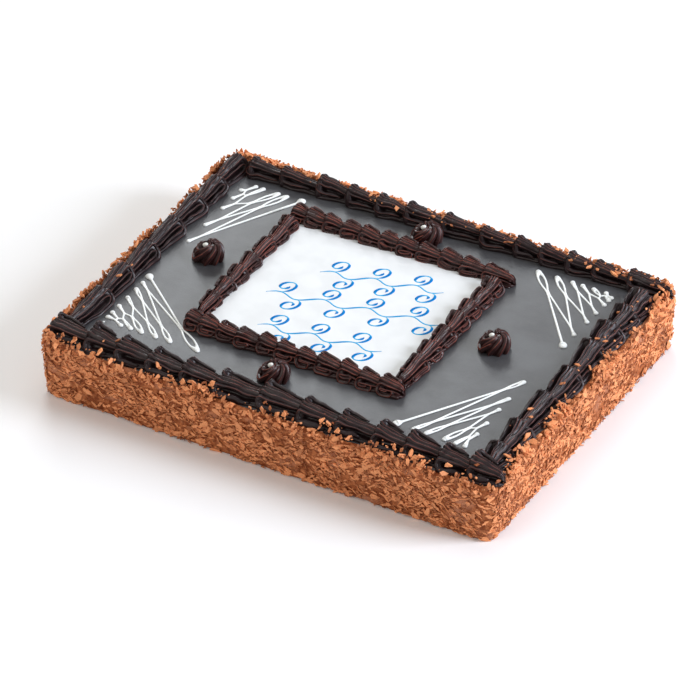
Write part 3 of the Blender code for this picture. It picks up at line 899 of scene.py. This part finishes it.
def icing_line(path):
    """Rings of a rounded line of icing that lies on the glaze."""
    forward = unit(np.gradient(path[:, :2], axis=0))
    sideways = np.stack((-forward[:, 1], forward[:, 0]), axis=1)
    rings = []
    for angle in np.linspace(-0.35, math.pi + 0.35, 9):
        across = path[:, 2] * math.cos(angle)
        up = path[:, 2] * (math.sin(angle) * LINE_FLATNESS) + 0.2
        plan = path[:, :2] + sideways * across[:, None]
        rings.append(np.concatenate((plan, (DECK + up)[:, None]), axis=1))
    return np.stack(rings, axis=1)


def drop_rings(place, radius, height):
    """A drop of icing on the glaze, rounder above than below."""
    level, angle = level_rings(np.linspace(0.03, 0.97, 9), 20)
    spread = radius * np.sin(level * math.pi) ** 0.7
    up = np.where(level < 0.5, -0.25, height) * np.abs(np.cos(level * math.pi))
    middle = np.array((place[0], place[1], DECK))
    return middle + np.stack((spread * np.cos(angle), spread * np.sin(angle), up), axis=-1)


def lay_drizzle():
    material = icing_finish("white_drizzle", DRIZZLE_WHITE, 0.25)
    for squiggle in SQUIGGLES:
        heap = Heap()
        turns = squiggle_turns(squiggle)
        heap.add_tube(icing_line(smooth_path(squiggle_path(turns, squiggle.loops), 0.6, 0.9)))
        heap.add_tube(drop_rings(turns[0], BLOB_RADIUS, 1.9))
        for turn in turns[1:]:
            heap.add_tube(drop_rings(turn, DROP_RADIUS * 0.82, 1.35))
        if squiggle.name == "drizzle_front_left":
            heap.add_tube(drop_rings(LAST_DROP, 0.9, 0.6))
        keep(heap.make(squiggle.name, material), "white_icing")


# The icing panel and its flourishes

def panel_height(x, y):
    """How high the panel's faintly wavy top is at a place."""
    return PLAQUE_TOP + 0.18 * lumps(np.stack((x, y, np.zeros_like(x)), axis=-1), 34.0, 5)


def sheet_of_icing():
    """The panel: a thin sheet of icing with soft edges and faint waves."""
    steps_x, steps_y = 120, 110
    centre = np.array((sum(PLAQUE_X) / 2, sum(PLAQUE_Y) / 2))
    half = np.array(((PLAQUE_X[1] - PLAQUE_X[0]) / 2, (PLAQUE_Y[1] - PLAQUE_Y[0]) / 2))
    u, v = np.meshgrid(np.linspace(-1, 1, steps_x), np.linspace(-1, 1, steps_y), indexing="ij")
    x = centre[0] + u * half[0]
    y = centre[1] + v * half[1]
    edge = np.minimum((1 - np.abs(u)) * half[0], (1 - np.abs(v)) * half[1])
    top = panel_height(x, y) - 0.5 * (1 - smoothstep(edge / 0.8))
    above = np.stack((x, y, top), axis=-1)
    below = np.stack((x, y, np.full_like(x, DECK - 0.1)), axis=-1)
    bm = bmesh.new()
    rows = [[[bm.verts.new(point * MM) for point in row] for row in layer] for layer in (above, below)]
    for layer in rows:
        for i in range(steps_x - 1):
            for j in range(steps_y - 1):
                bm.faces.new((layer[i][j], layer[i + 1][j], layer[i + 1][j + 1], layer[i][j + 1]))
    rim = [(i, 0) for i in range(steps_x)]
    rim += [(steps_x - 1, j) for j in range(1, steps_y)]
    rim += [(i, steps_y - 1) for i in range(steps_x - 2, -1, -1)]
    rim += [(0, j) for j in range(steps_y - 2, 0, -1)]
    for (i, j), (next_i, next_j) in zip(rim, rim[1:] + rim[:1]):
        bm.faces.new((rows[0][i][j], rows[0][next_i][next_j], rows[1][next_i][next_j], rows[1][i][j]))
    mesh = closed_mesh("icing_panel", bm)
    piece = new_piece("icing_panel", mesh, icing_finish("white_panel_icing", ICING, 0.38))
    keep(piece, "white_icing", "plaque")


@dataclass
class Flourish:
    """A row of scrollwork: a waving stem with curls above and below it; turn is in degrees."""
    start: tuple
    length: float
    turn: float
    waves: int


FLOURISHES = (
    Flourish((-57.0, 36.0), 102.0, 13.0, 3),
    Flourish((-81.0, -8.0), 146.0, 11.0, 4),
    Flourish((-64.0, -50.0), 104.0, 9.0, 3),
)
STEM_SWING = 3.4
CURL_RADIUS = 8.4
CURL_TURNS = 1.3
# The share of its radius that a curl loses on its way in.
CURL_SHRINK = 0.72
FLOURISH_SLANT = 0.35
# Half the width of a stroke, where it is thin and where it is broad, and how thick it lies.
HAIRLINE = 0.6
BROAD_STROKE = 1.25
INK_RISE = 0.14
# A stroke's section: shares of half its width, and of its thickness.
STROKE_SECTION = ((-1.0, -0.5), (-1.0, 0.7), (0.0, 1.0), (1.0, 0.7), (1.0, -0.5))


def flourish_curves(row):
    """The strokes of a row: the stem, and a spiral that leaves each of its bends."""
    share = np.linspace(0.0, 1.0, row.waves * 70)
    stem = (row.length * share, STEM_SWING * np.sin(2 * math.pi * row.waves * share))
    strokes = [np.stack(stem, axis=-1)]
    bends = 2 * row.waves
    share = np.linspace(0.0, 1.0, 130)
    radius = CURL_RADIUS * (1.0 - CURL_SHRINK * share)
    for bend in range(bends):
        side = 1.0 if bend % 2 == 0 else -1.0
        angle = -side * math.pi / 2 + side * 2 * math.pi * CURL_TURNS * share
        centre = np.array((row.length * (bend + 0.5) / bends, side * (STEM_SWING + CURL_RADIUS)))
        strokes.append(centre + np.stack((radius * np.cos(angle), radius * np.sin(angle)), axis=-1))
    return strokes


def ink_ribbon(heap, curve, row):
    """A flat stroke of a broad pen: wide where it runs up or down its slant, hairline across it."""
    cos, sin = math.cos(math.radians(row.turn)), math.sin(math.radians(row.turn))
    x = curve[:, 0] + curve[:, 1] * FLOURISH_SLANT
    y = curve[:, 1]
    plan = np.stack((x * cos - y * sin, x * sin + y * cos), axis=-1) + np.array(row.start)
    forward = unit(np.gradient(plan, axis=0))
    pen = unit(np.array((FLOURISH_SLANT * cos - sin, FLOURISH_SLANT * sin + cos)))
    weight = smoothstep((np.abs(forward @ pen) - 0.45) / 0.55)
    ends = np.minimum(np.arange(len(plan)), np.arange(len(plan))[::-1]) / 12.0
    half = (HAIRLINE + (BROAD_STROKE - HAIRLINE) * weight) * np.clip(ends, 0.3, 1.0)
    sideways = np.stack((-forward[:, 1], forward[:, 0]), axis=1)
    level = panel_height(plan[:, 0], plan[:, 1])
    rings = []
    for offset, up in STROKE_SECTION:
        edge = plan + sideways * (half * offset)[:, None]
        rings.append(np.concatenate((edge, (level + INK_RISE * up)[:, None]), axis=1))
    crest = np.repeat(weight[:, None], len(STROKE_SECTION), axis=1)
    heap.add_tube(np.stack(rings, axis=1), crest)


def draw_flourishes():
    heap = Heap()
    for row in FLOURISHES:
        for curve in flourish_curves(row):
            ink_ribbon(heap, curve, row)
    keep(heap.make("blue_flourishes", ink_finish()), "white_icing")


# The glaze

GLAZE_INSET = 2.0
GLAZE_DEPTH = 2.9


def pour_glaze():
    """The sheet of glaze: faintly uneven, with a soft edge under the coat's rim."""
    half_x = CAKE_LENGTH / 2 - GLAZE_INSET
    half_y = CAKE_WIDTH / 2 - GLAZE_INSET
    x, y = np.meshgrid(np.linspace(-1, 1, 161) * half_x, np.linspace(-1, 1, 121) * half_y, indexing="ij")
    flat = np.stack((x, y, np.zeros_like(x)), axis=-1)
    edge = np.minimum(half_x - np.abs(x), half_y - np.abs(y))
    uneven = 0.10 * lumps(flat, 45.0, 6) + 0.03 * lumps(flat, 12.0, 7)
    top = DECK + uneven - 0.8 * (1 - smoothstep(edge / 1.5))
    grid = np.stack((x, y, top), axis=-1)
    low = np.stack((x, y, np.full_like(x, DECK - GLAZE_DEPTH)), axis=-1)
    heap = Heap()
    heap.add_tube(np.concatenate((grid, low[:, ::-1]), axis=1))
    keep(heap.make("glaze_sheet", glaze_finish()), "dark_glaze", "glaze")


# The coat and its shavings

def coat_outline(spacing):
    """Points and outward directions round the plain box, in plan."""
    half_x, half_y = CAKE_LENGTH / 2 - CAKE_CORNER, CAKE_WIDTH / 2 - CAKE_CORNER
    points, outwards = [], []
    corners = ((1, 1, 0.0), (-1, 1, 0.5), (-1, -1, 1.0), (1, -1, 1.5))
    for here, (sign_x, sign_y, turn) in enumerate(corners):
        centre = np.array((sign_x * half_x, sign_y * half_y))
        for step in range(9):
            angle = math.pi * (turn + step / 16)
            outward = np.array((math.cos(angle), math.sin(angle)))
            points.append(centre + outward * CAKE_CORNER)
            outwards.append(outward)
        after = corners[(here + 1) % 4]
        angle = math.pi * (after[2] + (2.0 if after[2] < turn else 0.0))
        outward = np.array((math.cos(angle), math.sin(angle)))
        target = np.array((after[0] * half_x, after[1] * half_y)) + outward * CAKE_CORNER
        count = int(np.linalg.norm(target - points[-1]) / spacing)
        first = points[-1]
        for step in range(1, count):
            points.append(first + (target - first) * step / count)
            outwards.append(outward)
    return np.array(points), np.array(outwards)


def coat_rings(spacing, profile, crag):
    """Rings round the coat at each place of a profile, roughened."""
    points, outwards = coat_outline(spacing)
    rings = np.array([np.concatenate((points + outwards * offset, np.full((len(points), 1), height)), axis=1)
                      for offset, height in profile])
    rough = crag * (lumps(rings, 7.0, 21) * 0.6 + lumps(rings, 3.2, 22) * 0.4)
    rings[..., :2] += outwards[None] * rough[..., None]
    rings[1:-1, :, 2] += 0.5 * lumps(rings, 5.0, 23)[1:-1]
    return rings


def fine_profile(profile, steps):
    """The same profile with more places on it."""
    share = np.linspace(0, len(profile) - 1, steps)
    return np.stack([np.interp(share, np.arange(len(profile)), column) for column in zip(*profile)], axis=-1)


CHIP_SEGMENTS = 1


def chip_shape(name, rng, length, width, thickness, bend):
    """A thin chip with ragged edges, lying in XY. It shows a bend where it has two segments or more."""
    bm = bmesh.new()
    rows = []
    curl = rng.uniform(-1, 1) * bend
    skew = rng.uniform(-0.3, 0.3)
    for step in range(CHIP_SEGMENTS + 1):
        share = step / CHIP_SEGMENTS - 0.5
        half = width / 2 * (1 - 1.1 * share ** 2) * rng.uniform(0.7, 1.2)
        middle = skew * width * share + rng.uniform(-0.12, 0.12) * width
        lift = curl * length * (share ** 2 - 0.08)
        x = share * length
        corners = ((x, middle - half * rng.uniform(0.8, 1.1), lift - thickness / 2),
                   (x, middle + half * rng.uniform(0.8, 1.1), lift - thickness / 2),
                   (x, middle + half, lift + thickness / 2), (x, middle - half, lift + thickness / 2))
        rows.append([bm.verts.new(Vector(corner) * MM) for corner in corners])
    for near, far in zip(rows, rows[1:]):
        for side in range(4):
            following = (side + 1) % 4
            bm.faces.new((near[side], near[following], far[following], far[side]))
    bm.faces.new(rows[0])
    bm.faces.new(rows[-1])
    return bpy.data.objects.new(name, closed_mesh(name, bm))


def plate_shape(name, rng, length, width, thickness, corner_count, bend):
    """A thin, slightly bent plate with an irregular outline, lying in XY."""
    bm = bmesh.new()
    curl = rng.uniform(-1, 1) * bend
    angles = np.linspace(0, 2 * math.pi, corner_count, endpoint=False) + rng.uniform(-0.4, 0.4, corner_count)
    reaches = rng.uniform(0.65, 1.15, corner_count)
    layers = []
    for side in (-1, 1):
        layer = []
        for angle, reach in zip(angles, reaches):
            x = length / 2 * reach * math.cos(angle)
            y = width / 2 * reach * math.sin(angle)
            z = curl * (x / length) ** 2 * length + side * thickness / 2
            layer.append(bm.verts.new(Vector((x, y, z)) * MM))
        layers.append(layer)
    bm.faces.new(layers[0])
    bm.faces.new(layers[1])
    for corner in range(corner_count):
        after = (corner + 1) % corner_count
        bm.faces.new((layers[0][corner], layers[0][after], layers[1][after], layers[1][corner]))
    return bpy.data.objects.new(name, closed_mesh(name, bm))


@dataclass
class Cut:
    """A kind of cut piece of chocolate: how many shapes it has, and the ranges of their sizes."""
    name: str
    count: int
    length: tuple
    width: tuple
    thickness: tuple
    corners: tuple
    bend: float


# The shreds are chips, with four corners at each end, and all others are plates. The plates of a
# kind take turns with the numbers of corners that are given.
CUTS = (
    Cut("plate", 16, (4.0, 8.5), (1.8, 3.6), (0.4, 0.8), (4, 5), 0.2),
    Cut("shred", 10, (4.5, 8.5), (0.9, 1.8), (0.35, 0.6), (), 0.0),
    Cut("broad", 8, (7.0, 12.0), (4.0, 7.0), (0.5, 0.9), (6,), 0.15),
    Cut("chunk", 14, (4.0, 9.0), (2.5, 5.0), (0.7, 1.6), (4, 5, 6), 0.2),
    Cut("bit", 8, (1.6, 3.2), (1.2, 2.0), (0.5, 1.2), (4,), 0.2),
)


def cut_shapes(cut, rng):
    """A collection of the shapes of one kind."""
    collection = bpy.data.collections.new(cut.name + "_shapes")
    for number in range(cut.count):
        name = "%s_%d" % (cut.name, number)
        sizes = [rng.uniform(*sizes) for sizes in (cut.length, cut.width, cut.thickness)]
        if cut.corners:
            corner_count = cut.corners[number % len(cut.corners)]
            shape = plate_shape(name, rng, *sizes, corner_count, cut.bend)
        else:
            shape = chip_shape(name, rng, *sizes, cut.bend)
        collection.objects.link(shape)
    return collection


# The least that a piece is lifted off its surface, as a share of the most. Below zero it is sunk in.
LOWEST_LIFT = -0.4


def open_socket(sockets, name):
    """The socket of a name that is in use, on a node that has one for each type of data."""
    return [socket for socket in sockets if socket.name == name and socket.enabled][0]


def scatter_tree():
    """Scatters the shapes of a collection over a surface, as real pieces of chocolate lie."""
    tree = bpy.data.node_groups.new("pieces strewn on a surface", "GeometryNodeTree")
    face = tree.interface
    sockets = (("Surface", "NodeSocketGeometry"), ("Shapes", "NodeSocketCollection"),
               ("Per square metre", "NodeSocketFloat"), ("Smallest", "NodeSocketFloat"),
               ("Largest", "NodeSocketFloat"), ("Tilt", "NodeSocketFloat"), ("Swing", "NodeSocketFloat"),
               ("Lift", "NodeSocketFloat"), ("Seed", "NodeSocketInt"), ("Finish", "NodeSocketMaterial"))
    for label, kind in sockets:
        face.new_socket(label, in_out="INPUT", socket_type=kind)
    face.new_socket("Pieces", in_out="OUTPUT", socket_type="NodeSocketGeometry")

    def node(kind, inputs=None, **settings):
        made = tree.nodes.new(kind)
        for setting, value in settings.items():
            setattr(made, setting, value)
        for socket, value in (inputs or {}).items():
            if isinstance(value, bpy.types.NodeSocket):
                tree.links.new(value, made.inputs[socket])
            else:
                made.inputs[socket].default_value = value
        return made

    given = node("NodeGroupInput").outputs
    cover = node("GeometryNodeInputNamedAttribute", {"Name": "cover"}, data_type="FLOAT")
    density = node("ShaderNodeMath", {0: given["Per square metre"], 1: cover.outputs["Attribute"]},
                   operation="MULTIPLY")
    spread = node("GeometryNodeDistributePointsOnFaces",
                  {"Mesh": given["Surface"], "Density": density.outputs[0], "Seed": given["Seed"]})
    furthest = node("ShaderNodeCombineXYZ", {0: given["Tilt"], 1: given["Tilt"], 2: given["Swing"]})
    nearest = node("ShaderNodeVectorMath", {0: furthest.outputs[0], "Scale": -1.0}, operation="SCALE")
    turn = node("FunctionNodeRandomValue",
                {"Min": nearest.outputs[0], "Max": furthest.outputs[0], "Seed": given["Seed"]},
                data_type="FLOAT_VECTOR")
    euler = node("FunctionNodeEulerToRotation", {0: turn.outputs["Value"]})
    rotation = node("FunctionNodeRotateRotation",
                    {0: spread.outputs["Rotation"], 1: euler.outputs[0]}, rotation_space="LOCAL")
    size = node("FunctionNodeRandomValue", data_type="FLOAT")
    tree.links.new(given["Smallest"], open_socket(size.inputs, "Min"))
    tree.links.new(given["Largest"], open_socket(size.inputs, "Max"))
    lift = node("FunctionNodeRandomValue", data_type="FLOAT")
    open_socket(lift.inputs, "Min").default_value = LOWEST_LIFT
    open_socket(lift.inputs, "Seed").default_value = 7
    lift_by = node("ShaderNodeMath", {0: open_socket(lift.outputs, "Value"), 1: given["Lift"]},
                   operation="MULTIPLY")
    offset = node("ShaderNodeVectorMath", {0: spread.outputs["Normal"], "Scale": lift_by.outputs[0]},
                  operation="SCALE")
    raised = node("GeometryNodeSetPosition",
                  {"Geometry": spread.outputs["Points"], "Offset": offset.outputs[0]})
    shapes = node("GeometryNodeCollectionInfo",
                  {"Collection": given["Shapes"], "Separate Children": True, "Reset Children": True})
    strewn = node("GeometryNodeInstanceOnPoints",
                  {"Points": raised.outputs[0], "Instance": shapes.outputs[0], "Pick Instance": True,
                   "Rotation": rotation.outputs[0], "Scale": open_socket(size.outputs, "Value")})
    tone = node("FunctionNodeRandomValue", data_type="FLOAT")
    toned = node("GeometryNodeStoreNamedAttribute", {"Geometry": strewn.outputs[0], "Name": "tone"},
                 data_type="FLOAT", domain="INSTANCE")
    tree.links.new(open_socket(tone.outputs, "Value"), open_socket(toned.inputs, "Value"))
    real = node("GeometryNodeRealizeInstances", {"Geometry": toned.outputs[0]})
    finished = node("GeometryNodeSetMaterial",
                    {"Geometry": real.outputs[0], "Material": given["Finish"]})
    node("NodeGroupOutput", {"Pieces": finished.outputs[0]})
    return tree


def strew(tree, name, surface, material, inputs):
    """Runs the scatter on a surface, with the tree's inputs by name, and keeps the result as a mesh."""
    emitter = bpy.data.objects.new(name + "_surface", surface)
    bpy.context.scene.collection.objects.link(emitter)
    modifier = emitter.modifiers.new("strew", "NODES")
    modifier.node_group = tree
    labels = {item.name: item.identifier for item in tree.interface.items_tree if item.in_out == "INPUT"}
    for label, value in {**inputs, "Finish": material}.items():
        modifier[labels[label]] = value
    view = bpy.context.evaluated_depsgraph_get()
    mesh = bpy.data.meshes.new_from_object(emitter.evaluated_get(view), depsgraph=view)
    emitter.modifiers.clear()
    bpy.data.objects.remove(emitter, do_unlink=True)
    mesh.name = name
    for vertex in mesh.vertices:
        vertex.co.z = max(vertex.co.z, 0.0)
    return new_piece(name, mesh, material, flat=True)


def strip_surface(name, rings, cover):
    """An open strip of faces through rings, with how thickly each of its points is covered."""
    return mesh_of(name, rings.reshape(-1, 3), ring_faces(*rings.shape[:2]), "cover", cover.ravel())


# The rim that holds the loose flakes: how far it stands out and how high, how thickly it is covered
# there, and how much of the back border's inset is taken up there.
LEDGE_PROFILE = ((3.2, 47.0), (3.4, 50.3), (2.2, 52.5), (0.6, 55.5), (-1.2, 58.5), (-3.5, 62.0))
LEDGE_COVER = (1.0, 1.2, 1.2, 0.7, 0.25, 0.06)
LEDGE_INSET = (0.0, 0.0, 0.4, 1.0, 1.0, 1.0)
CAKE_ENDS = (-CAKE_LENGTH / 2, CAKE_LENGTH / 2)
# How far the back border's foot lies inside the rim, at its two ends.
BACK_FOOT = (-10.0, -1.0)
# Where flakes lie on the border's shells, and how thickly at the left and right end of each run.
CROWN_HALF_WIDTH = 6.0
CROWN_RISE = -2.4
CROWN_STEPS = 60
CROWN_COVER = {"border_front": (0.05, 0.12), "border_back": (0.4, 2.0), "border_left": (0.2, 0.2),
               "border_right": (0.45, 0.45)}


def side_surface():
    """The sides as the shavings cover them, thinner in patches where the coat is smeared bare."""
    rings = coat_rings(4.0, fine_profile(COAT_PROFILE[1:12], 14), 1.2)
    return strip_surface("sides", rings, np.clip(0.92 + 1.3 * lumps(rings, 15.0, 31), 0.18, 1.1))


def ledge_surface():
    """The rim and the foot of the border, with more chocolate towards the corners and in heaps."""
    rings = coat_rings(4.0, LEDGE_PROFILE, 0.6)
    x, y = rings[0, :, 0], rings[0, :, 1]
    at_back = smoothstep((y - CAKE_WIDTH / 2 + 2.0) / 2.0)
    foot = at_back * np.interp(x, CAKE_ENDS, BACK_FOOT)
    to_corner = np.abs(np.abs(x) - CAKE_LENGTH / 2) + np.abs(np.abs(y) - CAKE_WIDTH / 2)
    rings[..., 1] += foot * np.array(LEDGE_INSET)[:, None]
    heaped = 0.6 + 0.9 * np.exp(-to_corner / 60.0)
    patches = np.clip(0.7 + 1.5 * lumps(rings, 20.0, 41), 0.05, 2.0)
    return strip_surface("ledge", rings, np.array(LEDGE_COVER)[:, None] * heaped * patches)


def crown_surface():
    """The backs of the border's shells, where a few flakes have fallen, most of them on the back run."""
    points, faces, cover = [], [], []
    for number, run in enumerate(BORDER_RUNS):
        near, far = np.array(run.start, float), np.array(run.end, float)
        forward = unit(far - near)
        aside = np.array((-forward[1], forward[0])) * CROWN_HALF_WIDTH
        spine = near + (far - near) * np.linspace(0.0, 1.0, CROWN_STEPS)[:, None]
        level = np.full((CROWN_STEPS, 1), DECK + run.height + CROWN_RISE)
        points += [np.concatenate((spine + aside * side, level), axis=1) for side in (-1, 1)]
        cover += [np.interp(spine[:, 0], CAKE_ENDS, CROWN_COVER[run.name])] * 2
        for near_point in range(2 * CROWN_STEPS * number, 2 * CROWN_STEPS * number + CROWN_STEPS - 1):
            far_point = near_point + CROWN_STEPS
            faces.append((near_point, near_point + 1, far_point + 1, far_point))
    mesh = mesh_of("crown", np.concatenate(points), faces, "cover", np.concatenate(cover))
    turn_outwards(mesh)
    return mesh


@dataclass
class Strewn:
    """Pieces strewn on a surface.

    They have their cut, how many lie on a square metre, the least and the most that their size is
    multiplied by, how far they tilt and swing in radians, and the most they are lifted by.
    """
    name: str
    cut: str
    per_square_metre: float
    sizes: tuple
    tilt: float
    swing: float
    lift: float


ON_THE_SIDES = (
    Strewn("side_plates", "plate", 180000.0, (0.5, 1.1), 0.36, 0.8, 1.5),
    Strewn("side_shreds", "shred", 50000.0, (0.5, 1.0), 0.5, 0.9, 1.7),
    Strewn("side_broad_flakes", "broad", 18000.0, (0.5, 1.2), 0.25, 1.2, 1.3),
    Strewn("side_bits", "bit", 50000.0, (0.5, 1.1), 1.2, 3.1, 1.5),
)
ON_THE_LEDGE = (
    Strewn("ledge_flakes", "chunk", 150000.0, (0.5, 1.25), 1.0, 3.1, 1.9),
    Strewn("ledge_bits", "bit", 210000.0, (0.5, 1.2), 1.5, 3.1, 1.3),
)
ON_THE_CROWN = (
    Strewn("crown_flakes", "chunk", 9000.0, (0.6, 1.1), 0.4, 3.1, 1.0),
    Strewn("crown_bits", "bit", 9000.0, (0.5, 1.1), 0.8, 3.1, 1.0),
)
SHAPES_SEED = 77
FIRST_SEED = 3


def coat_the_sides():
    heap = Heap()
    heap.add_tube(coat_rings(2.2, fine_profile(COAT_PROFILE, 34), 1.6))
    keep(heap.make("chocolate_coat", coat_finish()), "shaved_chocolate", "cake")


def strew_the_shavings():
    rng = np.random.default_rng(SHAPES_SEED)
    shapes = {cut.name: cut_shapes(cut, rng) for cut in CUTS}
    finish = shavings_finish()
    tree = scatter_tree()
    seed = FIRST_SEED
    for surface, layers in ((side_surface(), ON_THE_SIDES), (ledge_surface(), ON_THE_LEDGE),
                            (crown_surface(), ON_THE_CROWN)):
        for strewn in layers:
            inputs = {"Shapes": shapes[strewn.cut], "Per square metre": strewn.per_square_metre,
                      "Smallest": strewn.sizes[0], "Largest": strewn.sizes[1], "Tilt": strewn.tilt,
                      "Swing": strewn.swing, "Lift": strewn.lift * MM, "Seed": seed}
            keep(strew(tree, strewn.name, surface, finish, inputs), "shaved_chocolate")
            seed += 1


# The studio

FLOOR_HALF = 6.0
SKY_COLOUR = (1.0, 0.97, 0.94, 1.0)
SKY_STRENGTH = 0.36


def lay_floor():
    mesh = bpy.data.meshes.new("floor")
    bm = bmesh.new()
    bmesh.ops.create_grid(bm, x_segments=2, y_segments=2, size=FLOOR_HALF)
    bm.to_mesh(mesh)
    bm.free()
    new_piece("floor", mesh, floor_finish())


def hang_light(name, place, aim, size, power, colour):
    """A square soft light: its place, what it points at, its side in metres and its power in watts."""
    light = bpy.data.lights.new(name, "AREA")
    light.shape = "SQUARE"
    light.size = size
    light.energy = power
    light.color = colour
    lamp = bpy.data.objects.new(name, light)
    lamp.location = place
    lamp.rotation_euler = (Vector(aim) - Vector(place)).to_track_quat("-Z", "Y").to_euler()
    bpy.context.scene.collection.objects.link(lamp)


def light_the_studio():
    scene = bpy.context.scene
    world = bpy.data.worlds.new("studio")
    world.use_nodes = True
    sky = world.node_tree.nodes["Background"]
    sky.inputs["Color"].default_value = SKY_COLOUR
    sky.inputs["Strength"].default_value = SKY_STRENGTH
    scene.world = world
    scene.view_settings.view_transform = "Standard"
    hang_light("right_softbox", (1.9, 0.5, 1.1), (0, 0, 0), 1.0, 50.0, (0.94, 1.0, 1.12))
    hang_light("back_softbox", (-1.1, 1.5, 1.15), (-0.05, 0, 0.05), 0.9, 15.0, (0.94, 0.98, 1.0))
    hang_light("top_softbox", (-0.3, 0.6, 2.3), (0, 0, 0), 1.4, 8.5, (0.98, 1.0, 1.0))
    hang_light("front_fill", (-0.9, -1.9, 1.8), (0, 0, 0), 1.8, 17.0, (1.0, 0.95, 0.88))


def aim_camera():
    azimuth = math.radians(CAMERA_AZIMUTH)
    elevation = math.radians(CAMERA_ELEVATION)
    roll = math.radians(CAMERA_ROLL)
    back = Vector((math.sin(azimuth) * math.cos(elevation), -math.cos(azimuth) * math.cos(elevation),
                   math.sin(elevation)))
    level = Vector((0, 0, 1)).cross(back).normalized()
    upright = back.cross(level)
    right = level * math.cos(roll) + upright * math.sin(roll)
    up = upright * math.cos(roll) - level * math.sin(roll)
    data = bpy.data.cameras.new("camera")
    data.sensor_width = 36.0
    data.lens = CAMERA_LENS
    data.clip_end = 50.0
    camera = bpy.data.objects.new("camera", data)
    turned = Matrix((right, up, back)).transposed().to_4x4()
    camera.matrix_world = Matrix.Translation(Vector(CAMERA_AIM) + back * CAMERA_DISTANCE) @ turned
    bpy.context.scene.collection.objects.link(camera)
    bpy.context.scene.camera = camera


aim_camera()
light_the_studio()
lay_floor()
pour_glaze()
sheet_of_icing()
draw_flourishes()
dark_ganache = ganache_finish("ganache_of_the_border", GANACHE, GANACHE_CREST_HIGHLIGHT, 0.30)
brown_ganache = ganache_finish("ganache_of_the_frame", FRAME_GANACHE, FRAME_CREST_HIGHLIGHT, 0.24)
pipe_ganache(dark_ganache, brown_ganache)
pipe_rosettes(brown_ganache)
lay_drizzle()
coat_the_sides()
strew_the_shavings()
